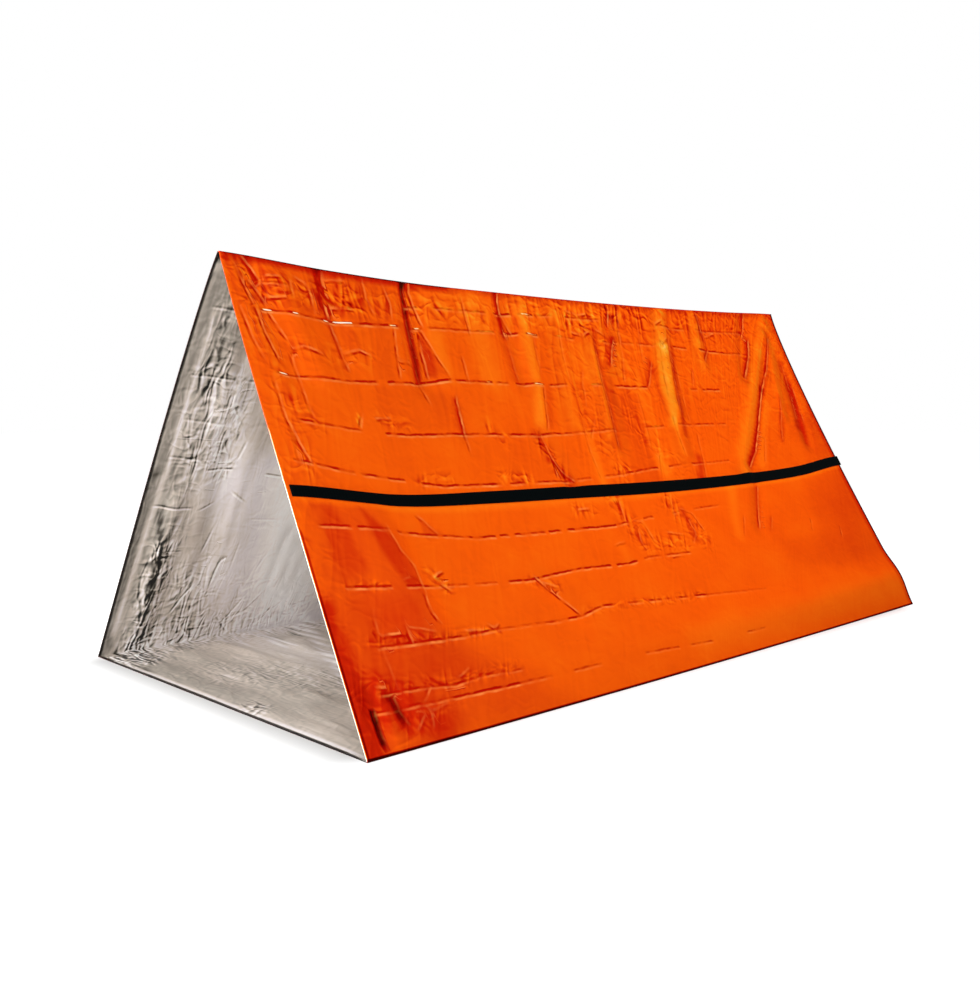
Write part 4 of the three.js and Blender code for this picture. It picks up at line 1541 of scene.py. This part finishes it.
@dataclass
class FilmTube:
    """The tube of film: both slopes and the floor in one closed thin sheet.

    The thickness is in metres, and the steps, margins, fades and heights of relief are in mm.
    """

    thickness: float = 0.0015
    stations: int = 316
    end_steps: tuple[float, ...] = (0, 2, 5, 10, 16)
    crease_half_width: float = 3.5
    band_margin: float = 5
    foot_insets: tuple[float, ...] = (8, 4, 0)
    close_rows: float = 10
    pane_step: float = 16.5
    pane_rows: int = 3
    ridge_steps: int = 3
    floor_steps: int = 16
    far_steps: int = 40
    ridge_down: float = 2.0
    fade_at_opening: float = 40
    fade_at_side: float = 30
    clear_of_band: float = 0.7
    groove_height: float = -0.22
    seen_height: float = 0.9
    pulled_crumple: Crumple = Crumple((32, 130), 1, 21)
    loose_crumple: Crumple = Crumple((50, 60), 0.5, 22)
    far_height: float = 1.6
    far_crumples: tuple[Crumple, ...] = (Crumple((46, 120), 1, 11), Crumple((90, 60), 0.6, 12))
    floor_height: float = 5
    floor_crumples: tuple[Crumple, ...] = (Crumple((130, 90), 1, 31), Crumple((60, 60), 0.5, 32))
    floor_fade: float = 60
    line_reach: float = 22
    silver_reach: float = 45
    far_tone: float = -0.1
    far_crinkle: float = 0.16
    # Painted shade over the whole floor's silver side
    floor_shade: float = -0.13
    floor_crinkle: float = 0.13
    # Painted light on the seen slope's cut edge, rising over a span down the slope, and painted shade on the
    # far slope's cut edge
    edge_light_from: float = 420
    edge_light_rise: float = 200
    far_edge_shade: float = -0.9
    rows: list[Row] = field(default_factory=list)

    def along(self) -> np.ndarray:
        """Lays out the stations: short steps at both openings and even ones between.

        Returns:
            Places along the film, in mm.
        """
        length = PITCH.length / MM
        end = np.array(self.end_steps, float)
        middle = np.linspace(end[-1], length - end[-1], self.stations - 2 * len(end) + 2)[1:-1]
        return np.concatenate([end, middle, length - end[::-1]])

    def seen_lines(self, along: np.ndarray) -> list[np.ndarray]:
        """Distances down the seen slope of its rows, from the ridge's edge to the floor.

        Each packing crease and each edge of the band is a guide. A crease has a row on it and
        one on either side, and the panes between are cut into even steps.

        Args:
            along: the stations, in mm.

        Returns:
            One array of distances down for each row, in mm.
        """
        slope = PITCH.slope_length / MM
        guides = [np.full(len(along), PITCH.ridge_share * slope)]
        for crease in PACK_CREASES:
            centre = np.interp(along, *zip(*crease.path))
            guides += [centre - self.crease_half_width, centre, centre + self.crease_half_width]
        for edge in (-1, 1):
            guides.append(slope * BAND.line + edge * BAND.half_width(along))
            guides.append(slope * BAND.line + edge * (BAND.half_width(along) + self.band_margin))
        for inset in self.foot_insets:
            guides.append(np.full(len(along), slope - inset))
        guides.sort(key=lambda guide: guide.mean())
        lines = [guides[0]]
        for above, below in zip(guides, guides[1:]):
            gap = (below - above).mean()
            steps = 1 if gap < self.close_rows else max(self.pane_rows, round(gap / self.pane_step))
            lines += [above + (below - above) * step / steps for step in range(1, steps + 1)]
        return lines

    def add_slope_row(self, hang: Slope, along: np.ndarray, down: np.ndarray) -> None:
        """Adds one row of a slope. The row on the floor's edge steps inwards along the corner's mitre.

        Args:
            hang: which slope.
            along: the stations, in mm.
            down: the row's distances down the slope, in mm.
        """
        t, share = along * MM / PITCH.length, down * MM / PITCH.slope_length
        inward = -self.thickness * PITCH.normal(hang.side)
        if np.all(share > 1 - 1e-9):
            mitre = self.thickness / math.tan((math.pi / 2 - PITCH.half_apex) / 2)
            inward = np.array([-hang.side.value * mitre, 0, self.thickness])
        points = PITCH.slope_points(hang, t, share, self.fine_relief(hang.side, along, down))
        girth = down * MM if hang.side is Side.SEEN else PITCH.girth - down * MM
        self.rows.append(Row(points, inward, down, girth, hang.side))

    def build_rows(self) -> None:
        """Lays out every row: down the seen slope, across the floor, up the far slope and over the ridge."""
        along = self.along()
        t = along * MM / PITCH.length
        slope = PITCH.slope_length
        for down in self.seen_lines(along):
            self.add_slope_row(SEEN_SLOPE, along, down)
        start, end = PITCH.foot(Side.SEEN, t), PITCH.foot(Side.FAR, t)
        for step in range(1, self.floor_steps):
            share = step / self.floor_steps
            points = start + (end - start) * share
            across = np.full(len(t), share * PITCH.width / MM)
            points[:, 2] += self.floor_relief(along, across)
            inward = np.array([0, 0, self.thickness])
            self.rows.append(Row(points, inward, across, slope + across * MM, None))
        top = PITCH.ridge_share * slope / MM
        for step in range(self.far_steps + 1):
            down = np.full(len(t), slope / MM + (top - slope / MM) * step / self.far_steps)
            self.add_slope_row(FAR_SLOPE, along, down)
        spread = math.pi / 2 - PITCH.half_apex
        centre = PITCH.ridge(t) - np.array([0, 0, PITCH.centre_drop])
        down = np.full(len(t), self.ridge_down)
        for step in range(1, self.ridge_steps):
            angle = -spread + 2 * spread * step / self.ridge_steps
            out = np.array([math.sin(angle), 0, math.cos(angle)])
            points = centre + PITCH.ridge_radius * out
            girth = PITCH.girth - down * MM
            self.rows.append(Row(points, -self.thickness * out, down, girth, Side.SEEN))

    def fine_relief(self, side: Side, along: np.ndarray, down: np.ndarray) -> np.ndarray:
        """Relief too fine for the solid: pressed creases, and a crumple that fades at the edges.

        A pressed crease is a straight-sided groove as wide as the rows beside it.

        Args:
            side: which slope.
            along, down: places on the film, in mm.

        Returns:
            The height out of the slope, in metres.
        """
        length, slope = PITCH.length / MM, PITCH.slope_length / MM
        by_opening = np.minimum(along, length - along) / self.fade_at_opening
        edge = np.minimum(by_opening, np.minimum(down, slope - down) / self.fade_at_side)
        by_band = np.abs(down - slope * BAND.line) / self.fade_at_side - self.clear_of_band
        fade = np.clip(np.minimum(edge, by_band), 0, 1)
        if side is Side.FAR:
            rough = sum(layer.heights(along, down) for layer in self.far_crumples)
            return self.far_height * rough * fade * MM
        pulled = self.pulled_crumple.heights(self.flow(along, down), down)
        rough = pulled + self.loose_crumple.heights(along, down)
        offset, depth = pack_crease(along, down)
        groove = self.groove_height * depth * np.clip(1 - np.abs(offset) / self.crease_half_width, 0, 1)
        return (self.crinkle(along, down) * self.seen_height * rough * fade + groove * fade) * MM

    def floor_relief(self, along: np.ndarray, across: np.ndarray) -> np.ndarray:
        """Wrinkles that lift the floor off the ground a little, and never sink it.

        Args:
            along: places along the film, in mm.
            across: distances from the seen slope's foot, in mm.

        Returns:
            The height off the ground, in metres.
        """
        rough = sum(np.maximum(0, layer.heights(along, across)) for layer in self.floor_crumples)
        length, width = PITCH.length / MM, PITCH.width / MM
        ends = np.clip(np.minimum(along, length - along) / self.floor_fade, 0, 1)
        sides = np.clip(np.minimum(across, width - across) / self.floor_fade, 0, 1)
        return self.floor_height * rough * ends * sides * MM

    @staticmethod
    def crinkle(along: np.ndarray, down: np.ndarray) -> np.ndarray:
        """How crinkled the seen slope is: most by the ridge and the front corner, least low down at the rear.

        It is a little everywhere, plus a bell by the front opening, plus a bell below the
        ridge that is four times as high behind the front third as before it.

        Args:
            along, down: places on the film, in mm.

        Returns:
            The crinkle, from 0 to about 0.5.
        """
        least, by_opening, opening_reach = 0.06, 0.15, 160
        below_ridge, ridge_middle, ridge_reach = 0.34, 60, 620
        rear = np.clip((along - 850) / 200, 0.25, 1)
        ridge = below_ridge * rear * bell(down - ridge_middle, ridge_reach)
        return least + by_opening * bell(along, opening_reach) + ridge

    @staticmethod
    def flow(along: np.ndarray, down: np.ndarray) -> np.ndarray:
        """Follows the line of pull through each place up to the ridge: wrinkles follow these lines.

        The lines run straight down near the front and lean ever more to the rear corner.

        Args:
            along, down: places on the film, in mm.

        Returns:
            Where each place's line starts, in mm along the ridge.
        """
        slant = 0.6
        towards = (0, 250, 550, 1000, 1500, 1900, 2250, 2450, 2600, 3200)
        lean = (0.12, 0, -0.15, -0.26, -0.3, -0.36, -0.9, -0.95, -0.6, -0.4)
        return along - np.interp(along + slant * down, towards, lean) * down

    def unroll(self, corners: np.ndarray) -> np.ndarray:
        """Works out each triangle corner's place on the flat film, kept whole across the ridge.

        Args:
            corners: one row of three vertex numbers for each triangle.

        Returns:
            The places in metres: along the film, and around the tube from the ridge.
        """
        girth = np.stack([row.girth for row in self.rows])
        u = np.tile(np.broadcast_to(self.along() * MM, girth.shape).ravel(), 2)
        v = np.tile(girth.ravel(), 2)
        uv = np.stack([u, v], -1)[corners.ravel()].reshape(-1, 3, 2)
        near_start = uv[..., 1] < PITCH.girth / 8
        past_half = uv[..., 1].max(axis=1, keepdims=True) > PITCH.girth / 2
        uv[..., 1] += np.where(near_start & past_half, PITCH.girth, 0)
        return uv

    def build(self) -> bpy.types.Object:
        """Builds the closed sheet: outer and inner surfaces, split alike, and a rim at each opening.

        Returns:
            The film, as one mesh.
        """
        self.build_rows()
        outer = np.stack([row.outer for row in self.rows])
        inner = outer + np.stack([row.inward for row in self.rows])[:, None, :]
        number = np.arange(outer[..., 0].size).reshape(outer.shape[:2])
        skin = grid_faces(number)
        lining = skin[:, [0, 2, 1]] + number.size
        rims = []
        for end, order in ((0, [0, 1, 2]), (-1, [0, 2, 1])):
            p, q = number[:, end], np.roll(number[:, end], -1)
            under_p, under_q = p + number.size, q + number.size
            pairs = np.stack([np.stack([p, under_p, q], -1), np.stack([q, under_p, under_q], -1)], 1)
            rims.append(pairs.reshape(-1, 3)[:, order])
        rim = np.concatenate(rims)
        corners = np.concatenate([skin, lining, rim])
        piece = new_mesh("film", np.concatenate([outer.reshape(-1, 3), inner.reshape(-1, 3)]), corners)
        set_uv(piece, self.unroll(corners))
        self.paint(piece)
        for finish in (PrintedFilm(), SilverFilm(), CutEdge()):
            piece.data.materials.append(finish.build())
        slots = np.repeat(np.arange(3, dtype=np.int32), (len(skin), len(lining), len(rim)))
        piece.data.polygons.foreach_set("material_index", slots)
        piece.data.polygons.foreach_set("use_smooth", slots < 2)
        return piece

    def paint(self, piece: bpy.types.Object) -> None:
        """Stores the tone of painted light and shade, the creases and the crinkle of every vertex, for the
        materials to read.

        Each layer holds the outer vertices and then the inner ones. Edge tones run from -1,
        black, to 1, white.

        Args:
            piece: the film.
        """
        down = np.stack([row.down for row in self.rows])
        place = np.broadcast_to(self.along(), down.shape)
        seen, far, flat = (
            np.array([row.side is side for row in self.rows]) for side in (Side.SEEN, Side.FAR, None)
        )
        names = ("tone", "crinkle", "pack_depth", "line_depth", "flow", "edge")
        layers = {name: np.zeros((2, *down.shape)) for name in names}
        layers |= {name: np.full((2, *down.shape), NO_CREASE) for name in ("pack_offset", "line_offset")}
        for rows in (seen, far):
            a, d = place[rows], down[rows]
            layers["flow"][0, rows] = self.flow(a, d) * MM
            layers["crinkle"][0, rows] = self.crinkle(a, d) + streak_tone(SEEN_CRINKLES, a, d)
            layers["pack_offset"][0, rows], layers["pack_depth"][0, rows] = pack_crease(a, d)
        a, d = place[seen], down[seen]
        layers["tone"][0, seen] = streak_tone(SEEN_STREAKS, a, d) + facet_tone(SEEN_FACETS, a, d)
        lines = nearest_line(SHARP_LINES, a, d, self.line_reach)
        layers["line_offset"][0, seen], layers["line_depth"][0, seen] = lines
        # The cut edge's painted tone: black for the shadow by the ground at the floor, and a painted light
        # rising down the seen slope
        on_floor = d > PITCH.slope_length / MM - 1
        light = np.clip((d - self.edge_light_from) / self.edge_light_rise, 0, 1)
        layers["edge"][:, seen] = np.where(on_floor, -1, light)
        a, d = place[far], down[far]
        layers["tone"][0, far] = self.far_tone
        layers["tone"][1, far] = streak_tone(FAR_STREAKS, a, d)
        lines = nearest_line(FAR_LINES, a, d, self.silver_reach)
        layers["pack_offset"][1, far], layers["pack_depth"][1, far] = lines
        layers["crinkle"][1, far] = self.far_crinkle + streak_tone(FAR_CRINKLES, a, d)
        layers["edge"][:, far] = self.far_edge_shade
        a, d = place[flat], down[flat]
        layers["tone"][1, flat] = streak_tone(FLOOR_STREAKS, a, d) + self.floor_shade
        layers["crinkle"][1, flat] = self.floor_crinkle + streak_tone(FLOOR_CRINKLES, a, d)
        layers["edge"][:, flat] = -1
        for name, values in layers.items():
            set_attribute(piece, name, values)

    def dress(self) -> bpy.types.Object:
        """Builds the film and tells the frame what it is.

        Returns:
            The film.
        """
        piece = self.build()
        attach(piece, "root")
        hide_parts("film_tube")
        LOG.info("film: %d triangles", len(piece.data.polygons))
        return piece


@dataclass
class SlopeBand:
    """The plain tape along the seen slope, half-way down the film. Its sizes are in mm."""

    widths: tuple[float, ...] = (28, 35, 39, 37, 37)
    line: float = 0.5
    thickness: float = 1.2
    gap: float = 0.3
    inset: float = 10
    tail: float = 9
    edge_round: float = 0.5
    uv_half: float = 0.02

    def half_width(self, along: np.ndarray) -> np.ndarray:
        """Half the band's width in mm, at places along the film."""
        return smooth_curve(self.widths, along * MM / PITCH.length) / 2

    def build(self) -> bpy.types.Object:
        """Builds the closed strip: a section with softened edges, carried along the film's own surface.

        Returns:
            The band, as one mesh.
        """
        length, slope = PITCH.length / MM, PITCH.slope_length / MM
        along = FilmTube().along()
        along = along[along >= self.inset]
        half = self.half_width(along)
        low, top = self.gap, self.gap + self.thickness
        middle = (low + top) / 2
        across = (-1, -0.5, 0, 0.5, 1, 1, 1, 0.5, 0, -0.5, -1, -1)
        shift = (1, 0, 0, 0, -1, 0, -1, 0, 0, 0, 1, 0)
        heights = (*[low] * 5, middle, *[top] * 5, middle)
        rings = []
        for side, inwards, height in zip(across, shift, heights):
            down = slope * self.line + side * half + inwards * self.edge_round
            rings.append(PITCH.slope_points(SEEN_SLOPE, along / length, down / slope, height * MM))
        points = np.stack(rings)
        points = np.concatenate([points, points[:, -1:] + np.array([0, self.tail * MM, 0])], axis=1)
        along = np.append(along, length + self.tail)
        number = np.arange(points[..., 0].size).reshape(points.shape[:2])
        sides = grid_faces(number)[:, ::-1]
        corners = np.concatenate([sides, self.cap(number[:, 0]), self.cap(number[:, -1])[:, ::-1]])
        piece = new_mesh("band", points.reshape(-1, 3), corners)
        u = np.broadcast_to(along * MM, number.shape).ravel()
        v = np.repeat(np.array(across) * self.uv_half, number.shape[1])
        set_uv(piece, np.stack([u, v], -1)[corners.ravel()])
        piece.data.materials.append(MattTape().build())
        return piece

    @staticmethod
    def cap(ring: np.ndarray) -> np.ndarray:
        """Closes one end of the strip with triangles between its under and its upper side.

        Args:
            ring: the section's twelve vertex numbers: five under, one, five back on top, one.

        Returns:
            One row of three vertex numbers for each triangle.
        """
        under, upper = ring[:5], ring[10:5:-1]
        faces = [[ring[11], under[0], upper[0]], [under[4], ring[5], upper[4]]]
        for a, b, c, d in zip(under, under[1:], upper[1:], upper):
            faces += [[a, b, c], [a, c, d]]
        return np.array(faces)

    def dress(self) -> bpy.types.Object:
        """Builds the band and tells the frame what it is.

        Returns:
            The band.
        """
        piece = self.build()
        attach(piece, "root")
        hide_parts("slope_band")
        LOG.info("band: %d triangles", len(piece.data.polygons))
        return piece


BAND = SlopeBand()


class Softbox(NamedTuple):
    """A studio light: where it stands, what it points at, its two sides in metres and its power in watts."""

    name: str
    place: Point
    target: Point
    size: tuple[float, float]
    power: float


@dataclass
class Studio:
    """A plain white floor, soft light and the camera at the photo's angle. Lengths are in metres."""

    camera_place: Point = (2.1944, -2.4207, 0.6782)
    camera_yaw: float = 45.971
    camera_pitch: float = -4.357
    lens: float = 38.43
    sensor: float = 36
    floor_half: float = 30.0
    floor_drop: float = 0.0005
    sky: Stops = ((0.0, "#808082"), (0.4, "#9C9C9C"), (0.75, "#DCDCDC"), (1.0, "#FFFFFF"))
    sky_from: float = -0.3
    sky_power: float = 0.7
    boxes: tuple[Softbox, ...] = (
        Softbox("key", (3.4, -3.2, 4.2), (0.2, 0.0, 0.5), (2.2, 2.2), 121),
        Softbox("rear strip", (2.2, 5.0, 3.4), (0.2, 0.6, 0.6), (0.8, 2.8), 25),
        Softbox("opening", (-0.8, -3.9, 1.7), (-0.2, -0.6, 0.2), (1.8, 1.8), 140),
        Softbox("low opening", (0.62, -3.9, 0.5), (-0.2, -0.6, 0.3), (0.9, 0.9), 85),
    )

    def build_floor(self) -> None:
        """Makes the floor, just under the tent so that the two never share a place."""
        signs = np.array([[-1, -1], [1, -1], [1, 1], [-1, 1]])
        points = np.column_stack([self.floor_half * signs, np.full(4, -self.floor_drop)])
        floor = new_mesh("studio_floor", points, np.array([[0, 1, 2], [0, 2, 3]]))
        floor.data.materials.append(StudioPaper().build())

    def build_world(self) -> None:
        """Makes the surroundings: plain white to the camera, and a soft studio gradient to the film."""
        world = bpy.data.worlds.new("studio")
        bpy.context.scene.world = world
        world.use_nodes = True
        world.node_tree.nodes.clear()
        add = partial(add_node, world.node_tree)
        up = add("SeparateXYZ", (add("TexCoord", out="Generated"),), out=2)
        height = add("MapRange", (up, self.sky_from, 1.0, 0.0, 1.0))
        lit = add("Background", (add("ValToRGB", (height,), stops=self.sky), self.sky_power))
        plain = add("Background", (srgb("#FFFFFF"), 1.0))
        mixed = add("MixShader", (add("LightPath", out="Is Camera Ray"), lit, plain))
        add("OutputWorld", (mixed,))

    def build_lights(self) -> None:
        """Places the softboxes, each turned to what it points at."""
        for box in self.boxes:
            light = bpy.data.lights.new(box.name, "AREA")
            light.shape = "RECTANGLE"
            light.size, light.size_y = box.size
            light.energy = box.power
            lamp = bpy.data.objects.new(box.name, light)
            lamp.location = box.place
            lamp.rotation_euler = (Vector(box.target) - Vector(box.place)).to_track_quat("-Z", "Y").to_euler()
            bpy.context.scene.collection.objects.link(lamp)

    def build_camera(self) -> None:
        """Places the camera where the photo was taken from, level from side to side."""
        data = bpy.data.cameras.new("camera")
        data.lens = self.lens
        data.sensor_width = self.sensor
        camera = bpy.data.objects.new("camera", data)
        camera.location = self.camera_place
        camera.rotation_euler = (math.radians(90 + self.camera_pitch), 0, math.radians(self.camera_yaw))
        bpy.context.scene.collection.objects.link(camera)
        bpy.context.scene.camera = camera

    def build(self) -> None:
        """Builds the whole studio."""
        self.build_camera()
        self.build_floor()
        self.build_world()
        self.build_lights()
        view = bpy.context.scene.view_settings
        view.view_transform = "Standard"
        view.look = "None"
        LOG.info("studio: %d softboxes", len(self.boxes))


def main() -> None:
    """Builds the studio and the tent in order."""
    logging.basicConfig(level=logging.INFO, format="%(name)s: %(message)s")
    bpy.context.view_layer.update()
    Studio().build()
    FilmTube().dress()
    BAND.dress()


if __name__ == "__main__":
    main()
